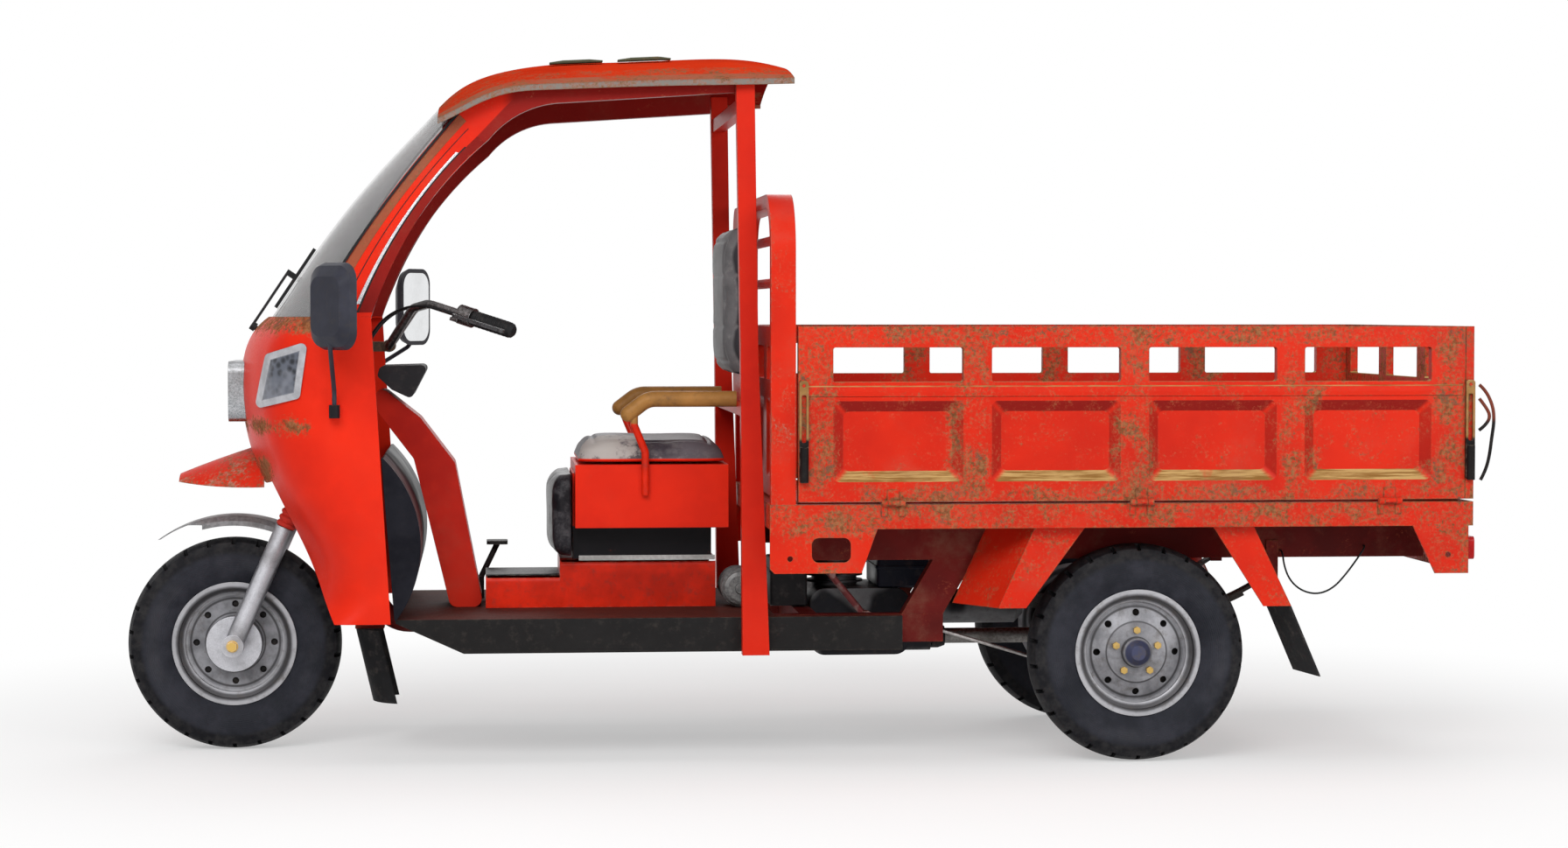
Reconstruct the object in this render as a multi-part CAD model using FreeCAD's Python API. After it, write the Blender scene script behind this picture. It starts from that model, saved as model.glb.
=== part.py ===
import FreeCAD, Part
import math
import os

# Cargo tricycle with a half-open cab and a drop-side bed.
# Millimetres. +X is forward, +Y is the left side, +Z is up.
# The origin is on the ground, at the middle of the overall length and width.

# Overall sizes
overall_length = 3540.0
front_reach = 1770.0
wheel_base = 2371.0
rear_track = 910.0
roof_height = 1860.0
cab_half_width = 470.0
bed_half_width = 600.0
overrun = 20.0
seat_gap = 0.3
running_fit = 0.05

# Wheels
tyre_diameter = 570.0
tyre_width = 125.0
tread_drop = 12.0
tread_thick = 30.0
tyre_wall = 12.0
groove_count = 26
groove_depth = 17.0
groove_start_share = 0.3
tyre_shoulder_share = 0.86
groove_width = 11.0
rim_diameter = 306.0
rim_width = 92.0
rim_sheet = 4.0
rim_flange = 13.0
rim_well = 16.0
rim_step_share = 0.55
rim_well_share = 0.35
hub_neck_share = 0.7
disc_sheet = 6.0
disc_set = 18.0
vent_count = 8
vent_radius = 9.0
vent_circle = 104.0
nut_count = 5
nut_radius = 10.0
nut_length = 12.0
nut_circle = 58.0
hub_radius = 38.0
hub_cap_length = 34.0
drum_radius = 92.0
drum_length = 46.0
front_drum_radius = 74.0
front_hub_half = 50.0
front_axle_radius = 8.0
brake_plate_sheet = 9.0
rear_spindle_radius = 15.0

# Fork and steering
rake = 23.9
fork_half_spread = 95.0
slider_radius = 26.0
slider_top_z = 600.0
stanchion_radius = 17.0
stem_radius = 16.0
lower_yoke_z = 735.0
upper_yoke_z = 955.0
yoke_height = 30.0
yoke_half_depth = 34.0
head_tube_wall = 7.0
bearing_height = 12.0
bearing_wall = 8.0
clamp_x = 1069.0
clamp_z = 1085.0
clamp_half_width = 45.0
clamp_radius = 17.0
boot_ribs = 8
boot_radius = 27.0
boot_rib_depth = 4.0
boot_rib_shares = ((0.05, 0.0), (0.35, 1.0), (0.65, 1.0), (0.95, 0.0))
fork_down_room = 60.0
axle_lug_radius = 30.0
axle_lug_proud = 2.0
axle_nut_radius = 14.0
axle_nut_length = 12.0
front_guard_radius = 345.0
front_guard_half_width = 70.0
front_guard_sheet = 3.0
front_guard_lip = 26.0
front_guard_start = 54.0
front_guard_end = 116.0
guard_stay_width = 24.0
guard_tip_half_width = 26.0
guard_tip_turn = 24.0

# Handlebar, grips and levers
bar_radius = 11.0
bar_rise_x = 1003.0
bar_rise_y = 170.0
bar_rise_z = 1186.0
bar_bend_x = 960.0
bar_bend_y = 262.0
bar_bend_z = 1198.0
bar_end_x = 742.0
bar_end_y = 395.0
bar_end_z = 1127.0
bar_bend_radius = 45.0
grip_length = 118.0
grip_radius = 19.0
grip_rib_count = 9
grip_rib = 1.5
grip_end_set = 6.0
housing_length = 42.0
housing_radius = 26.0
housing_gap = 3.0
lever_set = 52.0
lever_length = 140.0
lever_depth = 12.0
lever_height = 9.0
lever_boss_radius = 11.0
knob_share = 0.8
lever_pin_radius = 4.0
button_radius = 7.0
button_proud = 5.0

# Front fairing
fairing_bottom_z = 373.0
fairing_top_z = 1163.0
fairing_rear_x = 1050.0
fairing_nose_x = 1463.0
fairing_front_radius = 900.0
fairing_corner_radius = 180.0
fairing_sheet = 4.0
fairing_level_shares = (0.0, 0.444, 0.587, 0.767, 0.90, 1.0)
fairing_nose_shares = (0.814, 0.857, 0.956, 1.0, 0.966, 0.823)
wing_front_low_x = 1190.0
wing_front_high_x = 1368.0
wing_front_high_z = 732.0
chin_z = 724.0
wing_rear_low_x = 1054.0
deck_lip = 60.0
lamp_shares = ((0.79, 0.878), (0.516, 0.922), (0.567, 0.737), (0.87, 0.697))
lamp_rounding = 14.0
lamp_depth = 44.0
lamp_wall = 4.0
lamp_bulge = 6.0
lamp_inner_y = 240.0
mirror_boss_x = 1195.0
mirror_boss_z = 905.0
mirror_boss_radius = 14.0
mirror_boss_height = 34.0
mirror_boss_out = 24.0
beak_tip_x = 1628.0
beak_tip_z = 732.0
beak_root_x = 1395.0
beak_root_half = 175.0
beak_root_top_z = 825.0
beak_low_z = 712.0
beak_sheet = 4.0
beak_tip_half_share = 0.36
beak_mid_half_share = 0.80
beak_mid_top_share = 0.66
beak_tip_rise = 10.0
grille_bottom_z = 885.0
grille_top_z = 1045.0
grille_half_width = 165.0
grille_front_x = 1489.0
grille_rim = 14.0
grille_bar_count = 4
grille_bar = 9.0
grille_back = 60.0
grille_rounding = 30.0
leg_shield_sheet = 5.0
leg_shield_low_x = 1046.0
leg_shield_mid_x = 985.0
leg_shield_high_x = 1078.0
leg_shield_mid_z = 611.0
leg_shield_top_z = 800.0
flap_sheet = 5.0
front_flap_top_z = 322.0
front_flap_low_z = 125.0
front_flap_top_x = 1163.0
front_flap_low_x = 1117.0
front_flap_bow = 63.0
front_flap_half_width = 105.0
flap_bracket_half_width = 40.0
flap_bracket_sheet = 8.0

# Windscreen, pillars and roof
screen_sheet = 5.0
screen_run_share = 1.35
screen_bottom_z = 1163.0
screen_top_drop = 144.0
screen_bottom_x = 1381.0
screen_top_x = 938.0
screen_edge_bottom_x = 1253.0
screen_edge_top_x = 872.0
screen_level_shares = (0.0, 0.27, 0.535, 0.79, 1.0)
screen_centre_shares = (0.0, 0.225, 0.47, 0.75, 1.0)
screen_edge_shares = (0.0, 0.235, 0.468, 0.745, 1.0)
pillar_depth = 34.0
pillar_rear_low_x = 1102.0
pillar_rear_mid_x = 967.0
pillar_rear_mid_z = 1437.0
pillar_bend_low_x = 800.0
pillar_bend_low_drop = 242.0
pillar_bend_mid_x = 722.0
pillar_bend_mid_drop = 177.0
pillar_bend_high_x = 625.0
pillar_bend_high_drop = 148.0
cant_rail_drop = 118.0
pillar_front_mid_x = 1108.0
pillar_front_mid_z = 1400.0
pillar_high_drop = 165.0
roof_half_width = 520.0
roof_front_x = 930.0
roof_rear_x = 18.0
roof_sheet = 4.0
roof_rim = 15.0
roof_place_shares = (0.0, 0.055, 0.15, 0.30, 0.64, 0.93, 1.0)
roof_front_drop = 205.0
roof_top_shares = (0.668, 0.44, 0.24, 0.11, 0.038, 0.045, 0.127)
roof_rim_shares = (1.0, 0.888, 0.683, 0.576, 0.517, 0.488, 0.478)
post_width = 40.0
post_front_top_x = 168.0
post_rear_top_x = 120.0
post_front_low_x = 150.0
post_rear_low_x = 80.0
post_low_z = 287.0
post_waist_x = 155.0
post_waist_rear_x = 109.0
post_waist_z = 1077.0
hoop_tube_depth = 32.0
hoop_tube_height = 36.0
hoop_low_z = 905.0
hoop_top_drop = 170.0

# Column, floor and tunnel
column_half_width = 92.0
column_rear_x = 818.0
column_front_x = 1112.0
column_top_z = 985.0
column_shares = ((0.96, 1.0), (0.568, 0.847), (0.255, 0.645), (0.0, 0.0), (0.3, 0.0), (0.63, 0.664),
                 (1.0, 0.9))
column_rounding = 22.0
panel_half_width = 150.0
panel_rear_x = 961.0
panel_front_x = 1098.0
panel_low_z = 945.0
panel_top_z = 1035.0
panel_shares = ((0.0, 1.0), (0.343, 0.0), (0.72, 0.27), (1.0, 0.675), (0.94, 0.96))
panel_rounding = 12.0
gauge_radius = 44.0
gauge_depth = 8.0
floor_top_z = 383.0
floor_low_z = 294.0
floor_front_x = 1044.0
floor_rear_x = -272.0
floor_sheet = 4.0
floor_chin_x = 869.0
floor_plate_rear_x = 60.0
floor_flange = 40.0
tunnel_half_width = 130.0
tunnel_front_x = 812.0
tunnel_step_x = 614.0
tunnel_rear_x = 195.0
tunnel_low_top_z = 473.0
tunnel_high_top_z = 515.0
tunnel_sheet = 4.0
tunnel_rounding = 22.0

# Seat
seat_rear_x = 168.0
seat_front_x = 575.0
seat_half_width = 240.0
seat_bottom_z = 771.0
seat_top_z = 838.0
pad_place_shares = (0.0, 0.07, 0.5, 0.93, 1.0)
pad_width_shares = (0.88, 0.97, 1.0, 0.97, 0.88)
pad_height_shares = (0.6, 0.86, 1.0, 0.88, 0.6)
pad_side_share = 0.78
pad_bulge_share = 0.03
seat_box_low_z = 603.0
seat_box_half_width = 245.0
seat_box_sheet = 4.0
pedestal_half_width = 150.0
back_rear_x = 118.0
back_front_x = 180.0
back_low_z = 1000.0
back_high_z = 1411.0
back_half_width = 225.0
shell_sheet = 12.0
shell_top_z = 1463.0
shell_low_z = 906.0
shell_margin = 26.0
shell_corner = 70.0
armrest_y = 275.0
armrest_z = 946.0
armrest_radius = 21.0
armrest_bend_x = 385.0
armrest_bend = 60.0
armrest_tip_x = 436.0
armrest_tip_z = 907.0
armrest_tube_radius = 10.0
armrest_foot_x = 390.0
armrest_foot_z = 690.0
armrest_strut_bend = 15.0
armrest_strut_run = 30.0
shin_pad_front_x = 644.0
shin_pad_thick = 64.0
shin_pad_low_z = 520.0
shin_pad_top_z = 751.0
shin_pad_half_width = 215.0

# Mirrors and wiper
mirror_arm_radius = 6.0
mirror_reach = 680.0
mirror_head_z = 1190.0
mirror_head_height = 220.0
mirror_head_width = 165.0
mirror_head_depth = 36.0
mirror_head_rounding = 46.0
mirror_left_x = 1185.0
mirror_right_x = 1010.0
mirror_left_turn = 42.0
mirror_right_turn = -28.0
mirror_glass_inset = 9.0
mirror_glass_sheet = 3.0
mirror_dome_shares = (0.93, 0.68)
wiper_drop = 50.0
wiper_set = 16.0
wiper_spindle_radius = 7.0
wiper_boss_radius = 12.0
wiper_boss_height = 14.0
wiper_lift = 6.0
wiper_arm_length = 180.0
wiper_arm_width = 12.0
wiper_blade_length = 190.0
wiper_blade_width = 8.0
wiper_blade_gap = 3.0
wiper_blade_height = 9.0
wiper_link_length = 16.0
wiper_tip = 265.0

# Chassis frame
rail_y = 330.0
rail_width = 50.0
bed_rail_low_z = 522.0
cab_rail_low_z = 305.0
rail_tail_set = 80.0
bed_rail_front_x = 60.0
strut_top_x = -420.0
strut_low_x = -337.0
strut_half_length = 55.0
rail_front_x = 900.0
cross_member_size = 46.0
cross_member_shares = (0.03, 0.28, 0.90)
spine_radius = 27.0
spine_low_z = 335.0
spine_foot_x = 1085.0
spine_knee_x = 1150.0
spine_knee_z = 560.0
spine_bend = 90.0
spring_eye_radius = 16.0
spring_half_span = 390.0
spring_eye_z = 478.0
spring_width = 46.0
leaf_sheet = 8.0
leaf_count = 4
leaf_length_shares = (1.0, 0.78, 0.56, 0.34)
spring_pin_radius = 6.0
bracket_sheet = 8.0

# Rear axle and drive
axle_tube_radius = 32.0
diff_radius = 105.0
diff_half_width = 88.0
diff_nose_length = 150.0
diff_nose_radius = 48.0
shaft_radius = 21.0
shaft_ball_radius = 30.0
shaft_front_x = -375.0
boot_length = 36.0
boot_wall = 12.0
socket_wall = 9.0
socket_play = 2.0
backplate_radius = 100.0
backplate_sheet = 5.0
backplate_gap = 1.5
spring_pad_half = 60.0
spring_pad_height = 12.0
engine_front_x = -60.0
engine_rear_x = -330.0
engine_half_width = 150.0
engine_low_z = 250.0
engine_top_z = 430.0
engine_rounding = 40.0
cylinder_radius = 62.0
cylinder_height = 120.0
cylinder_x = -140.0
fin_count = 6
fin_sheet = 6.0
fin_proud = 16.0
kick_pin_radius = 8.0
muffler_radius = 48.0
muffler_y = -235.0
muffler_z = 345.0
muffler_front_x = -420.0
muffler_rear_x = -700.0
exhaust_pipe_radius = 16.0
exhaust_outlet_z = 400.0
exhaust_bend = 30.0
kick_pivot_x = -207.0
kick_pivot_z = 355.0
kick_top_x = -107.0
kick_top_z = 476.0
kick_y = 185.0
kick_radius = 9.0
kick_boss_radius = 18.0
kick_peg_length = 85.0
pedal_x = 830.0
pedal_y = -190.0
pedal_pivot_z = 430.0
pedal_pad_x = 780.0
pedal_pad_z = 533.0
pedal_pad_half = 38.0
pedal_pad_depth = 58.0
pedal_pad_sheet = 10.0
pedal_arm_radius = 8.0
pedal_boss_radius = 14.0
pedal_boss_half = 18.0
pedal_pin_radius = 6.0

# Cargo bed
bed_front_x = 89.0
gate_front_x = 16.0
gate_tail_set = 43.0
gate_low_z = 690.0
gate_top_z = 1139.0
gate_thick = 28.0
tailgate_thick = 22.0
gate_gap = 1.0
base_low_z = 620.0
base_top_z = 683.0
base_width = 44.0
deck_sheet = 4.0
deck_pad_sheet = 4.0
deck_margin = 8.0
bearer_count = 5
bearer_width = 40.0
gate_panel_count = 4
tail_panel_count = 3
window_low_z = 997.0
window_top_z = 1085.0
panel_end = 90.0
panel_gap = 74.0
tail_panel_end = 70.0
window_rounding = 6.0
pressing_low_z = 741.0
pressing_top_z = 948.0
pressing_depth = 18.0
pressing_slope = 27.0
pressing_rounding = 16.0
apron_sheet = 5.0
front_apron_top_rear_x = -188.0
front_apron_low_rear_x = -147.0
front_apron_low_z = 507.0
front_apron_corner = 12.0
apron_hole_x = -69.0
apron_hole_half = 50.0
apron_hole_low_z = 535.0
apron_hole_top_z = 598.0
apron_hole_rounding = 18.0
tie_hole_radius = 7.0
front_tie_hole_x = 37.0
rear_tie_hole_set = 86.0
tie_hole_z = 545.0
rear_apron_top_set = 180.0
rear_apron_low_set = 121.0
rear_apron_tail_set = 32.0
rear_apron_low_z = 496.0
hinge_radius = 8.0
hinge_pin_radius = 4.0
hinge_out = 9.5
hinge_z = 686.5
hinge_length = 30.0
hinge_gap = 0.5
hinge_leaf = 1.5
hinge_leaf_height = 34.0
gate_hinge_shares = (0.14, 0.51, 0.885)
tail_hinge_shares = (0.2, 0.8)
headboard_rear_x = 22.0
headboard_front_x = 86.0
headboard_top_z = 1480.0
headboard_tube = 36.0
headboard_corner = 150.0
headboard_rail_radius = 13.0
headboard_rail_shares = (0.33, 0.66)
headboard_panel_sheet = 20.0
latch_width = 24.0
latch_rim = 6.0
latch_sheet = 8.0
latch_top_z = 1000.0
latch_low_z = 740.0
latch_gap = 1.0
latch_pin_radius = 5.0
latch_grip_radius = 11.0
latch_grip_length = 90.0
front_latch_x = 2.0
guard_fore_top_near = 151.0
guard_fore_top_far = 284.0
guard_fore_low_near = 306.0
guard_fore_low_far = 379.0
guard_fore_splay = 95.0
guard_aft_top_near = 184.0
guard_aft_top_far = 292.0
guard_aft_low_near = 319.0
guard_aft_low_far = 393.0
mudguard_sheet = 4.0
mudguard_outer_y = 560.0
mudguard_inner_y = 385.0
mudguard_low_z = 410.0
rear_flap_low_z = 225.0
rear_flap_sweep = 79.0
rear_flap_splay = 25.0
valance_sheet = 5.0
tail_lamp_y = 470.0
tail_lamp_half_width = 85.0
tail_lamp_half_height = 30.0
tail_lamp_depth = 30.0
tail_lamp_rounding = 12.0
wire_diameter = 5.0
cord_reach_share = 0.45
wire_route = ((-1300.0, 355.0, 540.0), (-1300.0, 378.0, 540.0), (-1303.0, 382.0, 503.0),
              (-1318.0, 384.0, 463.0), (-1350.0, 386.0, 434.0), (-1394.0, 387.0, 424.0),
              (-1437.0, 386.0, 441.0), (-1472.0, 385.0, 479.0), (-1503.0, 383.0, 520.0),
              (-1526.0, 378.0, 552.0), (-1526.0, 355.0, 552.0))

# Places worked out from the sizes above
tail_x = front_reach - overall_length
centre_shift = overall_length / 2 - front_reach
tyre_radius = tyre_diameter / 2
rim_radius = rim_diameter / 2
axle_z = tyre_radius
front_axle_x = front_reach - tyre_radius
rear_axle_x = front_axle_x - wheel_base
rear_wheel_y = rear_track / 2
rake_angle = math.radians(rake)
steer_axis = FreeCAD.Vector(-math.sin(rake_angle), 0, math.cos(rake_angle))
cab_rail_top_z = floor_top_z - floor_sheet
screen_top_z = roof_height - screen_top_drop
pillar_high_z = roof_height - pillar_high_drop
hoop_top_z = roof_height - hoop_top_drop
rail_rear_x = tail_x + rail_tail_set
gate_rear_x = tail_x + gate_tail_set
rear_tie_hole_x = tail_x + rear_tie_hole_set
rear_apron_top_x = tail_x + rear_apron_top_set
rear_apron_low_x = tail_x + rear_apron_low_set
rear_apron_rear_x = tail_x + rear_apron_tail_set
tail_outer_x = gate_rear_x - gate_gap - tailgate_thick
tail_hinge_x = tail_x + hinge_radius
gate_hinge_y = bed_half_width + hinge_out


def vec(x, y, z):
    return FreeCAD.Vector(x, y, z)


def box(x0, x1, y0, y1, z0, z1):
    return Part.makeBox(x1 - x0, y1 - y0, z1 - z0, vec(x0, y0, z0))


def cylinder(start, end, radius):
    along = end - start
    return Part.makeCylinder(radius, along.Length, start, along)


def fused(shapes):
    result = shapes[0].multiFuse(shapes[1:])
    return result.removeSplitter()


def mirrored(shape):
    return shape.mirror(vec(0, 0, 0), vec(0, 1, 0))


def both_sides(shape):
    return [shape, mirrored(shape)]


def steer_point(z):
    # Point of the steering axis at height z; the axis passes through the front hub.
    return vec(front_axle_x - math.tan(rake_angle) * (z - axle_z), 0, z)


def corner_arc(before, corner, after, radius):
    # Arc tangent to both runs at a corner, as its two ends and its middle point.
    back = (before - corner).normalize()
    ahead = (after - corner).normalize()
    half_turn = (math.pi - back.getAngle(ahead)) / 2
    reach = radius * math.tan(half_turn)
    middle_way = (back + ahead).normalize()
    depth = radius / math.cos(half_turn) - radius
    return corner + back * reach, corner + middle_way * depth, corner + ahead * reach


def rounded_edges(points, radius, closed):
    count = len(points)
    edges = []
    corners = range(count) if closed else range(1, count - 1)
    arcs = {}
    for index in corners:
        arcs[index] = corner_arc(points[index - 1], points[index], points[(index + 1) % count], radius)
    runs = count if closed else count - 1
    for index in range(runs):
        following = (index + 1) % count
        start = arcs[index][2] if index in arcs else points[index]
        end = arcs[following][0] if following in arcs else points[following]
        edges.append(Part.LineSegment(start, end).toShape())
        if following in arcs:
            edges.append(Part.Arc(*arcs[following]).toShape())
    return edges


def outline_prism(points, radius, depth):
    # Closed outline with rounded corners, extruded along the vector depth.
    wire = Part.Wire(rounded_edges(points, radius, True))
    return Part.Face(wire).extrude(depth)


def polygon_prism(points, depth):
    return Part.Face(Part.makePolygon(points + points[:1])).extrude(depth)


def side_prism(pairs, y0, y1, radius=0):
    # Outline given in X and Z, extruded across Y.
    points = [vec(x, y0, z) for x, z in pairs]
    if radius == 0:
        return polygon_prism(points, vec(0, y1 - y0, 0))
    return outline_prism(points, radius, vec(0, y1 - y0, 0))


def pipe(points, radius, bend):
    path = Part.Wire(rounded_edges(points, bend, False))
    circle = Part.Wire(Part.makeCircle(radius, points[0], points[1] - points[0]))
    return path.makePipeShell([circle], True, False)


def revolved(pairs, axis_point, axis):
    # Outline given as distances along the axis and from it, turned a full circle.
    across = axis.cross(vec(1, 0, 0)) if abs(axis.x) == 0 else axis.cross(vec(0, 1, 0))
    across = across.normalize()
    points = [axis_point + axis * along + across * away for along, away in pairs]
    face = Part.Face(Part.makePolygon(points + points[:1]))
    return face.revolve(axis_point, axis, 360)


def ring(start, end, outer, inner):
    return cylinder(start, end, outer).cut(cylinder(start, end, inner))


def lowest(shape):
    return min(shape.Solids, key=lambda solid: solid.BoundBox.ZMin)


def largest(shape):
    return max(shape.Solids, key=lambda solid: solid.Volume)


# Wheels

def tyre(centre):
    # Hollow casing with its beads inside the rim's flanges and lugs cut into both shoulders.
    half = tyre_width / 2
    bead = rim_width / 2 - rim_sheet
    heel = rim_radius + rim_flange
    shoulder = half * tyre_shoulder_share
    crown = tyre_radius - tread_drop
    waist = (rim_radius + tyre_radius) / 2

    def spot(along, away):
        return vec(0, along, away)

    def line(start, end):
        return Part.LineSegment(spot(*start), spot(*end)).toShape()

    def arc(start, middle, end):
        return Part.Arc(spot(*start), spot(*middle), spot(*end)).toShape()

    toe = bead - tyre_wall
    inner_shoulder = shoulder - tyre_wall
    inner_crown = crown - tread_thick
    edges = [
        line((-bead, rim_radius), (-bead, heel)),
        arc((-bead, heel), (-half, waist), (-shoulder, crown)),
        arc((-shoulder, crown), (0, tyre_radius), (shoulder, crown)),
        arc((shoulder, crown), (half, waist), (bead, heel)),
        line((bead, heel), (bead, rim_radius)),
        line((bead, rim_radius), (toe, rim_radius)),
        arc((toe, rim_radius), (half - tyre_wall, waist), (inner_shoulder, inner_crown)),
        arc((inner_shoulder, inner_crown), (0, tyre_radius - tread_thick), (-inner_shoulder, inner_crown)),
        arc((-inner_shoulder, inner_crown), (tyre_wall - half, waist), (-toe, rim_radius)),
        line((-toe, rim_radius), (-bead, rim_radius)),
    ]
    body = Part.Face(Part.Wire(edges)).revolve(vec(0, 0, 0), vec(0, 1, 0), 360)
    groove = box(-groove_width / 2, groove_width / 2, half * groove_start_share, half + overrun,
                 tyre_radius - groove_depth, tyre_radius + overrun)
    step = 360 / groove_count
    grooves = []
    for index in range(groove_count):
        near = groove.copy()
        near.rotate(vec(0, 0, 0), vec(0, 1, 0), index * step)
        far = mirrored(groove)
        far.rotate(vec(0, 0, 0), vec(0, 1, 0), (index + 1 / 2) * step)
        grooves += [near, far]
    body = body.cut(Part.makeCompound(grooves))
    body.translate(centre)
    return body


def rim_barrel():
    half = rim_width / 2
    flange = rim_radius + rim_flange
    well = rim_radius - rim_well
    step = half * rim_step_share
    drop = half * rim_well_share
    outer = [(-half, flange), (rim_sheet - half, flange), (rim_sheet - half, rim_radius),
             (-step, rim_radius), (-drop, well), (drop, well), (step, rim_radius),
             (half - rim_sheet, rim_radius), (half - rim_sheet, flange), (half, flange)]
    inner = [(half, rim_radius - rim_sheet), (step + rim_sheet, rim_radius - rim_sheet),
             (drop + rim_sheet, well - rim_sheet), (-drop - rim_sheet, well - rim_sheet),
             (-step - rim_sheet, rim_radius - rim_sheet), (-half, rim_radius - rim_sheet)]
    return revolved(outer + inner, vec(0, 0, 0), vec(0, 1, 0))


def around_axle(shape, count, radius):
    # Copies of a shape made at the axle, set on a circle round the Y axis.
    copies = []
    for index in range(count):
        turn = 2 * math.pi * index / count
        copy = shape.copy()
        copy.translate(vec(radius * math.sin(turn), 0, radius * math.cos(turn)))
        copies.append(copy)
    return copies


def hexagon_nut(start_y, radius, length):
    points = [vec(radius * math.sin(math.pi * turn / 3), start_y, radius * math.cos(math.pi * turn / 3))
              for turn in range(6)]
    return polygon_prism(points, vec(0, length, 0))


def rear_rim(centre):
    # Pressed steel wheel with its brake drum and hub inside and five nuts outside.
    reach = rim_radius - rim_well - rim_sheet
    nut_land = nut_circle + nut_radius * 2
    face = disc_set + disc_sheet
    disc = revolved([(0, reach), (disc_sheet, reach), (face, nut_land), (face, hub_radius),
                     (disc_set, hub_radius), (disc_set, nut_land)], vec(0, 0, 0), vec(0, 1, 0))
    hole = cylinder(vec(0, -overrun, 0), vec(0, face + overrun, 0), vent_radius)
    wheel = fused([rim_barrel(), disc]).cut(Part.makeCompound(around_axle(hole, vent_count, vent_circle)))
    bore = rear_spindle_radius + running_fit
    back = disc_set - drum_length
    cap = face + hub_cap_length
    hub = revolved([(back, bore), (back, drum_radius), (disc_set - disc_sheet, drum_radius),
                    (disc_set, nut_circle + nut_radius), (disc_set, hub_radius), (face, hub_radius),
                    (cap - hub_radius / 2, hub_radius), (cap, hub_radius / 2), (cap, 0),
                    (face, 0), (face, bore)], vec(0, 0, 0), vec(0, 1, 0))
    nuts = around_axle(hexagon_nut(face, nut_radius, nut_length), nut_count, nut_circle)
    group = Part.makeCompound([wheel, hub] + nuts)
    group.translate(centre)
    return group


def front_rim(centre):
    reach = rim_radius - rim_well - rim_sheet
    disc = revolved([(-disc_sheet / 2, reach), (disc_sheet / 2, reach), (disc_sheet / 2, front_drum_radius),
                     (-disc_sheet / 2, front_drum_radius)], vec(0, 0, 0), vec(0, 1, 0))
    hole = cylinder(vec(0, -overrun, 0), vec(0, overrun, 0), vent_radius)
    disc = disc.cut(Part.makeCompound(around_axle(hole, vent_count, vent_circle)))
    bore = front_axle_radius + running_fit
    end = front_hub_half
    neck = front_drum_radius * hub_neck_share
    hub = revolved([(-end, bore), (-end, neck), (-end * hub_neck_share, front_drum_radius),
                    (end, front_drum_radius), (end, bore)], vec(0, 0, 0), vec(0, 1, 0))
    wheel = fused([rim_barrel(), disc, hub])
    wheel.translate(centre)
    return wheel


# Fork

def slider(side):
    foot = vec(front_axle_x, side * fork_half_spread, axle_z)
    top = steer_point(slider_top_z) + vec(0, side * fork_half_spread, 0)
    half = vec(0, slider_radius + axle_lug_proud, 0)
    lug = cylinder(foot - half, foot + half, axle_lug_radius)
    leg = fused([cylinder(foot, top, slider_radius), lug])
    bore = cylinder(slider_floor(side), top + steer_axis * overrun, stanchion_radius + running_fit)
    hole = cylinder(foot - vec(0, overrun + slider_radius, 0), foot + vec(0, overrun + slider_radius, 0),
                    front_axle_radius)
    return leg.cut(bore).cut(hole)


def slider_floor(side):
    # Bottom of the oil bore in the slider.
    foot = vec(front_axle_x, side * fork_half_spread, axle_z)
    return foot + steer_axis * (axle_lug_radius + slider_radius)


def front_axle():
    reach = fork_half_spread + slider_radius + axle_lug_proud
    rod = cylinder(vec(0, -reach, 0), vec(0, reach, 0), front_axle_radius)
    nut = hexagon_nut(reach, axle_nut_radius, axle_nut_length)
    shaft = fused([rod, nut, mirrored(nut)])
    shaft.translate(vec(front_axle_x, 0, axle_z))
    return shaft


def brake_plate():
    inner = front_hub_half + seat_gap
    outer = fork_half_spread - slider_radius - axle_lug_proud
    face = inner + brake_plate_sheet
    plate = revolved([(inner, front_axle_radius), (inner, front_drum_radius), (face, front_drum_radius),
                      (face, axle_lug_radius), (outer, axle_lug_radius * hub_neck_share),
                      (outer, front_axle_radius)], vec(0, 0, 0), vec(0, 1, 0))
    plate.translate(vec(front_axle_x, 0, axle_z))
    return plate


def axle_spacer():
    inner = front_hub_half + seat_gap
    outer = fork_half_spread - slider_radius - axle_lug_proud
    return ring(vec(front_axle_x, -outer, axle_z), vec(front_axle_x, -inner, axle_z), axle_nut_radius,
                front_axle_radius)


def fork_sliders():
    return Part.makeCompound([slider(1), slider(-1), front_axle(), brake_plate(), axle_spacer()])


def guard_tip_waste():
    # What is trimmed off the front end of the mudguard, so that it runs out in a point.
    def spot(radius, turn):
        angle = math.radians(turn)
        return radius * math.cos(angle), radius * math.sin(angle)

    wide = front_guard_half_width + overrun
    back = front_guard_start + guard_tip_turn
    low = front_guard_radius - front_guard_lip
    under = side_prism([spot(front_guard_radius, front_guard_start), spot(low, back),
                        spot(low - overrun * 2, back), spot(low - overrun * 2, front_guard_start)],
                       -wide, wide)
    tip_x = spot(front_guard_radius, front_guard_start)[0] + overrun
    root_x = spot(front_guard_radius, back)[0]
    corner = polygon_prism([vec(tip_x, guard_tip_half_width, 0), vec(root_x, front_guard_half_width, 0),
                            vec(root_x, wide, 0), vec(tip_x, wide, 0)],
                           vec(0, 0, front_guard_radius + overrun))
    return Part.makeCompound([under] + both_sides(corner))


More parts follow.
